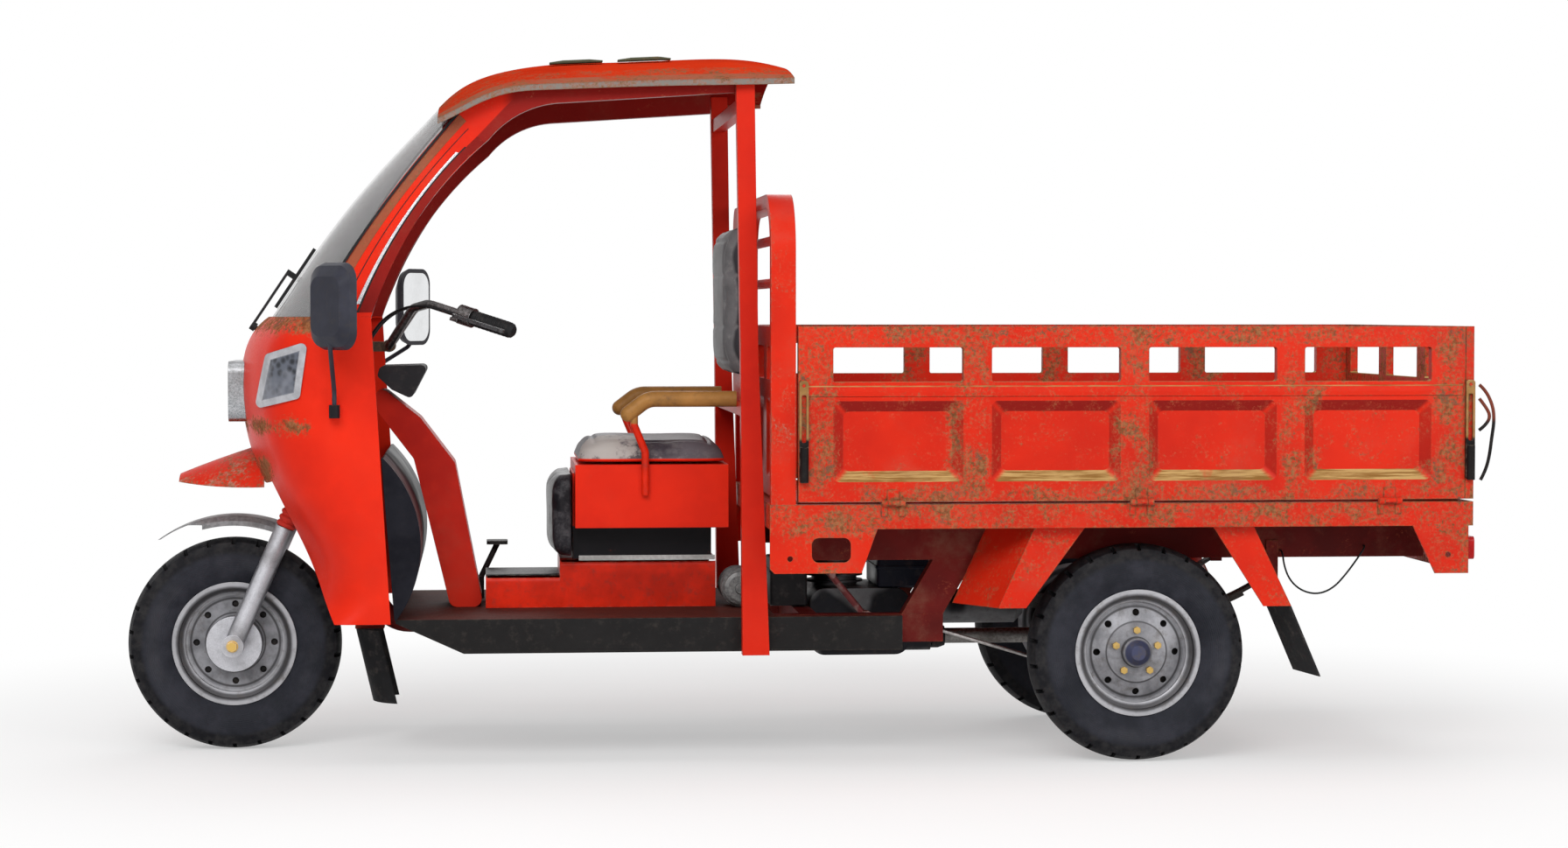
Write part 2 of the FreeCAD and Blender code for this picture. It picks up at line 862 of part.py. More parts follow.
def front_mudguard():
    wide = front_guard_half_width
    high = front_guard_radius
    low = high - front_guard_lip
    edge = front_guard_lip / 2
    sheet = front_guard_sheet
    outer = [(-wide, low), (-wide, high - edge), (edge - wide, high), (wide - edge, high),
             (wide, high - edge), (wide, low)]
    inner = [(wide - sheet, low), (wide - sheet, high - edge - sheet / 2),
             (wide - edge - sheet / 2, high - sheet), (edge + sheet / 2 - wide, high - sheet),
             (sheet - wide, high - edge - sheet / 2), (sheet - wide, low)]
    points = [vec(away, along, 0) for along, away in outer + inner]
    face = Part.Face(Part.makePolygon(points + points[:1]))
    face.rotate(vec(0, 0, 0), vec(0, 1, 0), -front_guard_start)
    guard = face.revolve(vec(0, 0, 0), vec(0, 1, 0), front_guard_start - front_guard_end)
    guard = guard.cut(guard_tip_waste())
    guard.translate(vec(front_axle_x, 0, axle_z))
    along = high - front_guard_lip
    pad = vec(front_axle_x, 0, axle_z) + steer_axis * along
    stay = cylinder(pad + vec(0, wide - sheet, 0), pad + vec(0, fork_half_spread, 0), guard_stay_width / 2)
    stays = [stay, mirrored(stay)]
    legs = Part.makeCompound([cylinder(vec(front_axle_x, side * fork_half_spread, axle_z),
                                       pad + vec(0, side * fork_half_spread, 0) + steer_axis * overrun * 2,
                                       slider_radius) for side in (1, -1)])
    return largest(fused([guard] + stays).cut(legs))


def steer_block(z, half_depth, half_width, height):
    block = box(-half_depth, half_depth, -half_width, half_width, -height / 2, height / 2)
    block.rotate(vec(0, 0, 0), vec(0, 1, 0), -rake)
    block.translate(steer_point(z))
    return block


def bar_points():
    left = [vec(clamp_x, clamp_half_width + bar_bend_radius, clamp_z),
            vec(bar_rise_x, bar_rise_y, bar_rise_z), vec(bar_bend_x, bar_bend_y, bar_bend_z),
            vec(bar_end_x, bar_end_y, bar_end_z)]
    right = [vec(point.x, -point.y, point.z) for point in left]
    return right[::-1] + left


def handlebar_tube():
    return pipe(bar_points(), bar_radius, bar_bend_radius)


def steering_stem():
    # Both yokes, the stem, the fork tubes and the bar clamp turn together.
    half_width = fork_half_spread + slider_radius
    pieces = [steer_block(lower_yoke_z, yoke_half_depth, half_width, yoke_height),
              steer_block(upper_yoke_z, yoke_half_depth, half_width, yoke_height),
              cylinder(steer_point(lower_yoke_z), steer_point(clamp_z), stem_radius)]
    for side in (1, -1):
        offset = vec(0, side * fork_half_spread, 0)
        low = slider_floor(side) + steer_axis * fork_down_room
        pieces.append(cylinder(low, steer_point(upper_yoke_z) + offset, stanchion_radius))
    top = steer_point(clamp_z)
    pieces.append(cylinder(vec(clamp_x, -clamp_half_width, clamp_z),
                           vec(clamp_x, clamp_half_width, clamp_z), clamp_radius))
    pieces.append(box(clamp_x, top.x, -stem_radius, stem_radius, clamp_z - stem_radius,
                      clamp_z + bar_radius))
    bar = cylinder(vec(clamp_x, -clamp_half_width, clamp_z), vec(clamp_x, clamp_half_width, clamp_z),
                   bar_radius)
    return fused(pieces).cut(bar)


def head_tube_ends():
    low = steer_point(lower_yoke_z) + steer_axis * (yoke_height / 2 + seat_gap)
    high = steer_point(upper_yoke_z) - steer_axis * (yoke_height / 2 + seat_gap)
    return low, high


def steering_bearings():
    low, high = head_tube_ends()
    outer = stem_radius + bearing_wall
    inner = stem_radius + running_fit
    rise = steer_axis * bearing_height
    return Part.makeCompound([ring(low, low + rise, outer, inner), ring(high - rise, high, outer, inner)])


def fork_boot(side):
    # Ribbed rubber boot between the slider and the lower yoke.
    start = steer_point(slider_top_z) + vec(0, side * fork_half_spread, 0) + steer_axis * seat_gap
    end = steer_point(lower_yoke_z) + vec(0, side * fork_half_spread,
                                          0) - steer_axis * (yoke_height / 2 + seat_gap)
    length = (end - start).Length
    pitch = length / boot_ribs
    steady = vec(0, 1, 0)
    wires = []
    for rib in range(boot_ribs):
        for place, rise in boot_rib_shares:
            circle = Part.Circle(start + steer_axis * (pitch * (rib + place)), steer_axis,
                                 boot_radius - boot_rib_depth + boot_rib_depth * rise)
            circle.XAxis = steady
            wires.append(Part.Wire(circle.toShape()))
    boot = Part.makeLoft(wires, True, True)
    return boot.cut(cylinder(start - steer_axis * overrun, end + steer_axis * overrun,
                             stanchion_radius + seat_gap))


# Handlebar grips and levers, made for the left hand and mirrored for the right

def hand_frame():
    # Local X runs inward along the bar from its end, Y points forward, Z up.
    end = vec(bar_end_x, bar_end_y, bar_end_z)
    inward = (vec(bar_bend_x, bar_bend_y, bar_bend_z) - end).normalize()
    up = (vec(0, 0, 1) - inward * inward.z).normalize()
    ahead = up.cross(inward)
    return end, inward, ahead, up


def on_bar(shape):
    end, inward, ahead, up = hand_frame()
    matrix = FreeCAD.Matrix(inward.x, ahead.x, up.x, end.x, inward.y, ahead.y, up.y, end.y,
                            inward.z, ahead.z, up.z, end.z, 0, 0, 0, 1)
    placed = shape.copy()
    placed.Placement = FreeCAD.Placement(matrix)
    return placed


def hand_grip(clearance):
    # Rubber sleeve with raised rings; the clearance is the running fit of a twist grip.
    bore = bar_radius + clearance
    pitch = grip_length / (grip_rib_count * 2 + 1)
    pairs = [(-grip_end_set, 0), (-grip_end_set, grip_radius * hub_neck_share), (0, grip_radius)]
    for rib in range(grip_rib_count):
        start = pitch * (rib * 2 + 1)
        pairs += [(start, grip_radius), (start, grip_radius + grip_rib),
                  (start + pitch, grip_radius + grip_rib), (start + pitch, grip_radius)]
    pairs += [(grip_length, grip_radius), (grip_length, bore), (-seat_gap, bore), (-seat_gap, 0)]
    return on_bar(revolved(pairs, vec(0, 0, 0), vec(1, 0, 0)))


def lever_pivot_x():
    return grip_length + housing_gap + housing_length / 2


def lever_perch():
    # Clamp round the bar with the switch box, the lever's plate and its pin.
    start = grip_length + housing_gap
    end = start + housing_length
    clamp = ring(vec(start, 0, 0), vec(end, 0, 0), housing_radius, bar_radius)
    plate_top = -lever_height / 2 - seat_gap
    plate = box(lever_pivot_x() - lever_boss_radius, lever_pivot_x() + lever_boss_radius,
                bar_radius + lever_depth / 2, lever_set + lever_boss_radius, plate_top - lever_height,
                plate_top)
    pin = cylinder(vec(lever_pivot_x(), lever_set, plate_top - lever_height),
                   vec(lever_pivot_x(), lever_set, lever_height / 2 + seat_gap), lever_pin_radius)
    bore = cylinder(vec(lever_pivot_x(), -housing_radius - overrun, 0), vec(lever_pivot_x(), 0, 0),
                    button_radius + running_fit)
    return on_bar(fused([clamp, plate, pin]).cut(bore))


def hand_lever():
    pivot = vec(lever_pivot_x(), lever_set, 0)
    half = lever_height / 2
    boss = cylinder(pivot - vec(0, 0, half), pivot + vec(0, 0, half), lever_boss_radius)
    tip_x = lever_pivot_x() - lever_length
    blade = polygon_prism([vec(pivot.x, pivot.y - lever_depth / 2, -half),
                           vec(pivot.x, pivot.y + lever_boss_radius, -half),
                           vec(tip_x, pivot.y + lever_depth / 2, -half),
                           vec(tip_x, pivot.y - lever_depth / 2, -half)], vec(0, 0, lever_height))
    knob = cylinder(vec(tip_x, pivot.y, -half), vec(tip_x, pivot.y, half), lever_depth * knob_share)
    bore = cylinder(pivot - vec(0, 0, overrun), pivot + vec(0, 0, overrun), lever_pin_radius + running_fit)
    return on_bar(fused([boss, blade, knob]).cut(bore))


def hand_button():
    inner = -bar_radius - button_proud
    return on_bar(cylinder(vec(lever_pivot_x(), -housing_radius - button_proud, 0),
                           vec(lever_pivot_x(), inner, 0), button_radius))


def handlebar():
    perch = lever_perch()
    return Part.makeCompound([handlebar_tube(), perch, mirrored(perch)])


# Front fairing and what it carries

def bow_wire(z, nose, half_width, front_radius, corner_radius, rear):
    # Plan outline: a wide front arc, a tighter arc at each corner and straight sides.
    centre = nose - front_radius
    run = math.sqrt((front_radius - corner_radius) ** 2 - (half_width - corner_radius) ** 2)
    lean = math.atan2(half_width - corner_radius, run)
    mid = (lean + math.pi / 2) / 2
    corner_x = centre + run
    corner_y = half_width - corner_radius
    meet = vec(centre + front_radius * math.cos(lean), front_radius * math.sin(lean), z)
    bend = vec(corner_x + corner_radius * math.cos(mid), corner_y + corner_radius * math.sin(mid), z)
    side = vec(corner_x, half_width, z)
    back = vec(rear, half_width, z)

    def flip(point):
        return vec(point.x, -point.y, point.z)

    return Part.Wire([
        Part.LineSegment(flip(back), flip(side)).toShape(),
        Part.Arc(flip(side), flip(bend), flip(meet)).toShape(),
        Part.Arc(flip(meet), vec(nose, 0, z), meet).toShape(),
        Part.Arc(meet, bend, side).toShape(),
        Part.LineSegment(side, back).toShape(),
        Part.LineSegment(back, flip(back)).toShape(),
    ])


def fairing_body(grow, reach):
    # Solid nose, grown outward by grow; reach carries it past the open rear and bottom.
    depth = fairing_nose_x - fairing_rear_x
    height = fairing_top_z - fairing_bottom_z
    wires = []
    for level, nose in zip(fairing_level_shares, fairing_nose_shares):
        z = fairing_bottom_z + level * height
        if level == 0:
            z -= reach
        if level == 1:
            z += grow
        wires.append(bow_wire(z, fairing_rear_x + nose * depth + grow, cab_half_width + grow,
                              fairing_front_radius + grow, fairing_corner_radius + grow,
                              fairing_rear_x - reach))
    return Part.makeLoft(wires, True, False)


def lamp_prism(inset):
    # Lamp outline seen from the left, pushed through the left front corner.
    depth = fairing_nose_x - fairing_rear_x
    height = fairing_top_z - fairing_bottom_z
    corners = [vec(fairing_rear_x + x * depth, lamp_inner_y, fairing_bottom_z + z * height) for x,
               z in lamp_shares]
    middle = (corners[0] + corners[1] + corners[2] + corners[3]) / len(corners)
    points = [point + (middle - point).normalize() * inset for point in corners]
    return outline_prism(points, lamp_rounding, vec(0, cab_half_width, 0))


def headlamp_housings():
    # Open bowls set into the corners of the fairing.
    back = fairing_body(-lamp_depth, overrun)
    inner = fairing_body(lamp_wall - lamp_depth, overrun)
    bowl = lamp_prism(0).common(fairing_body(0, 0)).cut(back)
    bowl = bowl.cut(lamp_prism(lamp_wall).cut(inner))
    return Part.makeCompound(both_sides(largest(bowl)))


def headlamp_lenses():
    lens = lamp_prism(0).common(fairing_body(lamp_bulge, 0)).cut(fairing_body(0, 0))
    return Part.makeCompound(both_sides(largest(lens)))


def wiper_frame():
    # Foot of the windscreen: its upward direction, its outward normal and the wiper's pivot.
    rise = vec(screen_x(1) - screen_x(0), 0, screen_z(1) - screen_z(0)).normalize()
    outward = vec(rise.z, 0, -rise.x)
    foot = vec(screen_bottom_x, 0, screen_bottom_z)
    return rise, outward, foot - rise * wiper_drop + outward * wiper_set


def mirror_boss(side):
    y = side * (cab_half_width + mirror_boss_out)
    low = vec(mirror_boss_x, y, mirror_boss_z)
    boss = cylinder(low, low + vec(0, 0, mirror_boss_height), mirror_boss_radius)
    wall = side * (cab_half_width - fairing_sheet / 2)
    web = box(mirror_boss_x - mirror_boss_radius, mirror_boss_x + mirror_boss_radius, min(y, wall),
              max(y, wall), mirror_boss_z, mirror_boss_z + mirror_boss_height)
    bore = cylinder(low + vec(0, 0, mirror_boss_radius / 2), low + vec(0, 0, mirror_boss_height + overrun),
                    mirror_arm_radius + running_fit)
    return fused([boss, web]).cut(bore)


def front_fairing():
    shell = fairing_body(0, 0).cut(fairing_body(-fairing_sheet, overrun))
    low = fairing_bottom_z - overrun
    wheel_gap = side_prism([(wing_front_low_x, low), (wing_front_high_x, wing_front_high_z),
                            (wing_front_high_x + overrun, chin_z), (fairing_nose_x + overrun, chin_z),
                            (fairing_nose_x + overrun, low)], -bed_half_width, bed_half_width)
    high = fairing_top_z + overrun
    rear = side_prism([(fairing_rear_x - overrun, low), (wing_rear_low_x, low),
                       (pillar_rear_low_x, fairing_top_z), (pillar_rear_low_x, high),
                       (fairing_rear_x - overrun, high)], -bed_half_width, bed_half_width)
    edge_y = cab_half_width - pillar_depth
    edge_x = screen_edge_bottom_x - deck_lip
    deck = fairing_top_z - fairing_sheet * 2
    start = vec(edge_x, -edge_y, deck)
    end = vec(edge_x, edge_y, deck)
    back_x = fairing_rear_x - overrun
    opening = Part.Wire([Part.Arc(start, vec(screen_bottom_x - deck_lip, 0, deck), end).toShape(),
                         Part.LineSegment(end, vec(back_x, edge_y, deck)).toShape(),
                         Part.LineSegment(vec(back_x, edge_y, deck), vec(back_x, -edge_y, deck)).toShape(),
                         Part.LineSegment(vec(back_x, -edge_y, deck), start).toShape()])
    shell = shell.cut(wheel_gap).cut(rear).cut(Part.Face(opening).extrude(vec(0, 0, overrun)))
    shell = shell.cut(Part.makeCompound(both_sides(lamp_prism(0))))
    rise, outward, pivot = wiper_frame()
    shell = shell.cut(cylinder(pivot - outward * overrun * 2, pivot + outward * overrun,
                               wiper_spindle_radius + running_fit))
    return fused([largest(shell), mirror_boss(1), mirror_boss(-1)])


def front_beak():
    # Arched visor over the front wheel, seated on the nose.
    stations = ((beak_root_x, beak_root_half, beak_low_z, beak_root_top_z),
                ((beak_root_x + beak_tip_x) / 2, beak_root_half * beak_mid_half_share, beak_low_z,
                 beak_low_z + (beak_root_top_z - beak_low_z) * beak_mid_top_share),
                (beak_tip_x, beak_root_half * beak_tip_half_share, beak_tip_z - beak_tip_rise,
                 beak_tip_z + beak_tip_rise))
    wires = []
    for x, half, low, top in stations:
        inner = half - beak_sheet * 2
        wires.append(Part.Wire([
            Part.Arc(vec(x, -half, low), vec(x, 0, top), vec(x, half, low)).toShape(),
            Part.LineSegment(vec(x, half, low), vec(x, inner, low)).toShape(),
            Part.Arc(vec(x, inner, low), vec(x, 0, top - beak_sheet), vec(x, -inner, low)).toShape(),
            Part.LineSegment(vec(x, -inner, low), vec(x, -half, low)).toShape(),
        ]))
    visor = Part.makeLoft(wires, True, False)
    return largest(visor.cut(fairing_body(0, 0)))


def grille():
    # Rounded frame with level bars, seated on the nose.
    back = grille_front_x - grille_back

    def frame_prism(inset):
        y = grille_half_width - inset
        low = grille_bottom_z + inset
        top = grille_top_z - inset
        points = [vec(back, -y, low), vec(back, y, low), vec(back, y, top), vec(back, -y, top)]
        return outline_prism(points, grille_rounding - inset, vec(grille_back, 0, 0))

    rim = frame_prism(0).cut(frame_prism(grille_rim))
    pitch = (grille_top_z - grille_bottom_z) / (grille_bar_count + 1)
    bars = []
    for index in range(grille_bar_count):
        z = grille_bottom_z + pitch * (index + 1)
        bars.append(box(back, grille_front_x - grille_bar, grille_rim - grille_half_width,
                        grille_half_width - grille_rim, z - grille_bar / 2, z + grille_bar / 2))
    return largest(fused([rim] + bars).cut(fairing_body(0, 0)))


def leg_shield():
    # Curved panel behind the front wheel, from the floor to the fairing, with a cheek at each end.
    half = cab_half_width - fairing_sheet
    low = vec(leg_shield_low_x, -half, floor_top_z)
    mid = vec(leg_shield_mid_x, -half, leg_shield_mid_z)
    high = vec(leg_shield_high_x, -half, leg_shield_top_z)
    back = vec(-leg_shield_sheet, 0, 0)
    wire = Part.Wire([Part.Arc(low, mid, high).toShape(), Part.LineSegment(high, high + back).toShape(),
                      Part.Arc(high + back, mid + back, low + back).toShape(),
                      Part.LineSegment(low + back, low).toShape()])
    sheet = Part.Face(wire).extrude(vec(0, half * 2, 0))
    side = Part.Wire([Part.Arc(low, mid, high).toShape(), Part.LineSegment(high, low).toShape()])
    cheek = Part.Face(side).extrude(vec(0, leg_shield_sheet, 0))
    return fused([sheet] + both_sides(cheek))


# Windscreen, pillars and roof

def screen_z(index):
    return screen_bottom_z + screen_level_shares[index] * (screen_top_z - screen_bottom_z)


def screen_x(index):
    return screen_bottom_x + screen_centre_shares[index] * (screen_top_x - screen_bottom_x)


def windscreen():
    half = cab_half_width - pillar_depth - seat_gap
    run = screen_sheet * screen_run_share
    wires = []
    for index, share in enumerate(screen_edge_shares):
        z = screen_z(index)
        middle = vec(screen_x(index), 0, z)
        edge = screen_edge_bottom_x + share * (screen_edge_top_x - screen_edge_bottom_x)
        right = vec(edge, -half, z)
        left = vec(edge, half, z)
        back = vec(-run, 0, 0)
        wires.append(Part.Wire([Part.Arc(right, middle, left).toShape(),
                                Part.LineSegment(left, left + back).toShape(),
                                Part.Arc(left + back, middle + back, right + back).toShape(),
                                Part.LineSegment(right + back, right).toShape()]))
    return lowest(Part.makeLoft(wires, True, False).cut(roof_shell()))


def roof_wire(x, half, base, rim_top, top):
    return Part.Wire([Part.LineSegment(vec(x, -half, base), vec(x, -half, rim_top)).toShape(),
                      Part.Arc(vec(x, -half, rim_top), vec(x, 0, top), vec(x, half, rim_top)).toShape(),
                      Part.LineSegment(vec(x, half, rim_top), vec(x, half, base)).toShape(),
                      Part.LineSegment(vec(x, half, base), vec(x, -half, base)).toShape()])


def roof_shell():
    # Crowned sheet with a turned-down rim along both sides.
    outer = []
    inner = []
    for place, top_share, rim_share in zip(roof_place_shares, roof_top_shares, roof_rim_shares):
        x = roof_front_x + place * (roof_rear_x - roof_front_x)
        top = roof_height - top_share * roof_front_drop
        low = roof_height - rim_share * roof_front_drop
        outer.append(roof_wire(x, roof_half_width, low, low + roof_rim, top))
        inner.append(roof_wire(x, roof_half_width - roof_sheet, low - overrun, low + roof_rim - roof_sheet,
                               top - roof_sheet))
    return Part.makeLoft(outer, True, False).cut(Part.makeLoft(inner, True, False))


def cab_pillar():
    # Post beside the screen that bends into a rail under the roof's edge.
    y = cab_half_width - pillar_depth
    end_x = post_front_top_x + seat_gap
    foot_front = vec(screen_edge_bottom_x, y, screen_bottom_z)
    foot_rear = vec(pillar_rear_low_x, y, screen_bottom_z)
    high_front = vec(screen_edge_top_x, y, pillar_high_z)
    bend_low = vec(pillar_bend_low_x, y, roof_height - pillar_bend_low_drop)
    bend_mid = vec(pillar_bend_mid_x, y, roof_height - pillar_bend_mid_drop)
    bend_high = vec(pillar_bend_high_x, y, roof_height - pillar_bend_high_drop)
    rail_end = vec(end_x, y, roof_height - cant_rail_drop)
    lift = vec(0, 0, roof_front_drop)
    far_top = vec(end_x, y, high_front.z + lift.z)
    wire = Part.Wire([
        Part.Arc(foot_front, vec(pillar_front_mid_x, y, pillar_front_mid_z), high_front).toShape(),
        Part.LineSegment(high_front, high_front + lift).toShape(),
        Part.LineSegment(high_front + lift, far_top).toShape(),
        Part.LineSegment(far_top, rail_end).toShape(),
        Part.LineSegment(rail_end, bend_high).toShape(),
        Part.Arc(bend_high, bend_mid, bend_low).toShape(),
        Part.Arc(bend_low, vec(pillar_rear_mid_x, y, pillar_rear_mid_z), foot_rear).toShape(),
        Part.LineSegment(foot_rear, foot_front).toShape(),
    ])
    return lowest(Part.Face(wire).extrude(vec(0, pillar_depth, 0)).cut(roof_shell()))


def rear_hoop():
    inner = cab_half_width - post_width / 2
    outer = cab_half_width + post_width / 2
    lift = roof_height + overrun
    post = side_prism([(post_front_low_x, post_low_z), (post_waist_x, post_waist_z),
                       (post_front_top_x, lift), (post_rear_top_x, lift), (post_waist_rear_x, post_waist_z),
                       (post_rear_low_x, post_low_z)], inner, outer)
    post = lowest(post.cut(roof_shell()))
    low_tube = box(back_rear_x, back_rear_x + hoop_tube_depth, -inner, inner, hoop_low_z,
                   hoop_low_z + hoop_tube_height)
    top_start = (post_front_top_x + post_rear_top_x - hoop_tube_depth) / 2
    top_tube = box(top_start, top_start + hoop_tube_depth, -inner, inner, hoop_top_z,
                   hoop_top_z + hoop_tube_height)
    return fused([post, mirrored(post), low_tube, top_tube])


# Column, floor and tunnel

def shared_outline(shares, x0, x1, z0, z1):
    return [(x0 + x * (x1 - x0), z0 + z * (z1 - z0)) for x, z in shares]


def column_cover():
    pairs = shared_outline(column_shares, column_rear_x, column_front_x, floor_top_z, column_top_z)
    cover = side_prism(pairs, -column_half_width, column_half_width, column_rounding)
    way = head_tube_wall + bearing_wall + stem_radius + overrun
    return largest(cover.cut(cylinder(steer_point(lower_yoke_z), steer_point(clamp_z),
                                      way)).cut(instrument_block()))


def instrument_block():
    pairs = shared_outline(panel_shares, panel_rear_x, panel_front_x, panel_low_z, panel_top_z)
    return side_prism(pairs, -panel_half_width, panel_half_width, panel_rounding)


def instrument_panel():
    # Dash pod with one round gauge let into its sloped rear face.
    pairs = shared_outline(panel_shares, panel_rear_x, panel_front_x, panel_low_z, panel_top_z)
    high = vec(pairs[0][0], 0, pairs[0][1])
    low = vec(pairs[1][0], 0, pairs[1][1])
    face_up = (high - low).normalize()
    outward = vec(-face_up.z, 0, face_up.x)
    middle = (high + low) / 2
    well = cylinder(middle - outward * gauge_depth, middle + outward * overrun, gauge_radius)
    dial = cylinder(middle - outward * gauge_depth, middle - outward * gauge_depth / 2,
                    gauge_radius - seat_gap)
    return Part.makeCompound([instrument_block().cut(well), dial])


def pedal_cheek(y):
    half = pedal_boss_radius
    return box(pedal_x - half, pedal_x + half, y, y + floor_sheet, floor_top_z - floor_sheet / 2,
               pedal_pivot_z + half)


def footboard():
    # Floor pan with turned-down sills that run back beside the engine.
    half = cab_half_width - post_width / 2
    plate = box(floor_plate_rear_x, floor_front_x, -half, half, floor_top_z - floor_sheet, floor_top_z)
    sill = box(floor_rear_x, floor_front_x, half - floor_sheet, half, floor_low_z, floor_top_z)
    flange = box(floor_rear_x, floor_front_x, half - floor_flange, half, floor_top_z - floor_sheet,
                 floor_top_z)
    chin = side_prism([(floor_chin_x, floor_low_z - overrun), (floor_chin_x, floor_low_z),
                       (floor_front_x + overrun, floor_top_z),
                       (floor_front_x + overrun, floor_low_z - overrun)], -bed_half_width, bed_half_width)
    pan = fused([plate] + both_sides(sill) + both_sides(flange)).cut(chin)
    reach = pedal_boss_half + seat_gap
    cheeks = [pedal_cheek(pedal_y + reach), pedal_cheek(pedal_y - reach - floor_sheet)]
    pin = cylinder(vec(pedal_x, pedal_y - reach - floor_sheet, pedal_pivot_z),
                   vec(pedal_x, pedal_y + reach + floor_sheet, pedal_pivot_z), pedal_pin_radius)
    return fused([pan] + cheeks + [pin])


def brake_pedal():
    boss = cylinder(vec(pedal_x, pedal_y - pedal_boss_half, pedal_pivot_z),
                    vec(pedal_x, pedal_y + pedal_boss_half, pedal_pivot_z), pedal_boss_radius)
    arm = cylinder(vec(pedal_x, pedal_y, pedal_pivot_z), vec(pedal_pad_x, pedal_y, pedal_pad_z),
                   pedal_arm_radius)
    pad = outline_prism([vec(-pedal_pad_depth / 2, -pedal_pad_half, 0),
                         vec(pedal_pad_depth / 2, -pedal_pad_half, 0),
                         vec(pedal_pad_depth / 2, pedal_pad_half, 0),
                         vec(-pedal_pad_depth / 2, pedal_pad_half, 0)], pedal_pad_sheet,
                        vec(0, 0, pedal_pad_sheet))
    pad.translate(vec(pedal_pad_x, pedal_y, pedal_pad_z))
    bore = cylinder(vec(pedal_x, pedal_y - overrun * 2, pedal_pivot_z),
                    vec(pedal_x, pedal_y + overrun * 2, pedal_pivot_z), pedal_pin_radius + running_fit)
    return fused([boss, arm, pad]).cut(bore)


def center_tunnel():
    pairs = [(tunnel_rear_x, floor_top_z), (tunnel_front_x, floor_top_z),
             (tunnel_front_x, tunnel_low_top_z), (tunnel_step_x, tunnel_low_top_z),
             (tunnel_step_x, tunnel_high_top_z), (tunnel_rear_x, tunnel_high_top_z)]
    outer = side_prism(pairs, -tunnel_half_width, tunnel_half_width)
    sheet = tunnel_sheet
    hollow = [(tunnel_rear_x - overrun, floor_top_z - overrun),
              (tunnel_front_x - sheet, floor_top_z - overrun),
              (tunnel_front_x - sheet, tunnel_low_top_z - sheet),
              (tunnel_step_x - sheet, tunnel_low_top_z - sheet),
              (tunnel_step_x - sheet, tunnel_high_top_z - sheet),
              (tunnel_rear_x - overrun, tunnel_high_top_z - sheet)]
    inner = side_prism(hollow, sheet - tunnel_half_width, tunnel_half_width - sheet)
    raised = [edge for edge in outer.Edges if edge.BoundBox.ZMin > floor_top_z]
    tops = [edge for edge in raised if edge.BoundBox.XLength > tunnel_rounding]
    return outer.makeFillet(tunnel_rounding, tops).cut(inner)


# Seat

def crowned_pad(length, half_width, height):
    # Stuffed pad along local X: flat underneath, crowned on top, drawn in at the ends.
    wires = []
    for place, width_share, height_share in zip(pad_place_shares, pad_width_shares, pad_height_shares):
        x = place * length
        half = half_width * width_share * (1 - pad_bulge_share)
        bulge = half_width * width_share
        top = height * height_share
        side = top * pad_side_share
        inner = half - top * (1 - pad_side_share)
        wires.append(Part.Wire([
            Part.LineSegment(vec(x, -half, 0), vec(x, half, 0)).toShape(),
            Part.Arc(vec(x, half, 0), vec(x, bulge, side / 2), vec(x, inner, side)).toShape(),
            Part.Arc(vec(x, inner, side), vec(x, 0, top), vec(x, -inner, side)).toShape(),
            Part.Arc(vec(x, -inner, side), vec(x, -bulge, side / 2), vec(x, -half, 0)).toShape(),
        ]))
    return Part.makeLoft(wires, True, False)


def upright_pad(front_x, low_z, length, half_width, height):
    # The same pad stood on end, with its crown facing forward.
    pad = crowned_pad(length, half_width, height)
    pad.rotate(vec(0, 0, 0), vec(0, 1, 0), -90)
    pad.rotate(vec(0, 0, 0), vec(0, 0, 1), 180)
    pad.translate(vec(front_x - height, 0, low_z))
    return pad


def seat_cushion():
    pad = crowned_pad(seat_front_x - seat_rear_x, seat_half_width, seat_top_z - seat_bottom_z)
    pad.translate(vec(seat_rear_x, 0, seat_bottom_z))
    return pad


def backrest_cushion():
    return upright_pad(back_front_x, back_low_z, back_high_z - back_low_z, back_half_width,
                       back_front_x - back_rear_x)


def shin_pad():
    return upright_pad(shin_pad_front_x, shin_pad_low_z, shin_pad_top_z - shin_pad_low_z,
                       shin_pad_half_width, shin_pad_thick)


def backrest_shell():
    half = back_half_width + shell_margin
    x = back_rear_x - shell_sheet
    points = [vec(x, -half, shell_low_z), vec(x, half, shell_low_z), vec(x, half, shell_top_z),
              vec(x, -half, shell_top_z)]
    return outline_prism(points, shell_corner, vec(shell_sheet, 0, 0))


def open_box(x0, x1, half, z0, z1, sheet):
    # Sheet box with an open underside.
    outer = box(x0, x1, -half, half, z0, z1)
    return outer.cut(box(x0 + sheet, x1 - sheet, sheet - half, half - sheet, z0 - overrun, z1 - sheet))


def seat_box():
    # Folded box under the cushion, on a narrower pedestal over the tunnel.
    front = shin_pad_front_x - shin_pad_thick
    upper = open_box(seat_rear_x, seat_front_x, seat_box_half_width, seat_box_low_z, seat_bottom_z,
                     seat_box_sheet)
    lower = open_box(seat_rear_x + post_width, front, pedestal_half_width, tunnel_high_top_z,
                     seat_box_low_z + seat_box_sheet, seat_box_sheet)
    backing = box(seat_front_x - seat_box_sheet, front, -pedestal_half_width, pedestal_half_width,
                  seat_box_low_z, seat_bottom_z - shell_margin)
    return fused([upper, lower, backing])


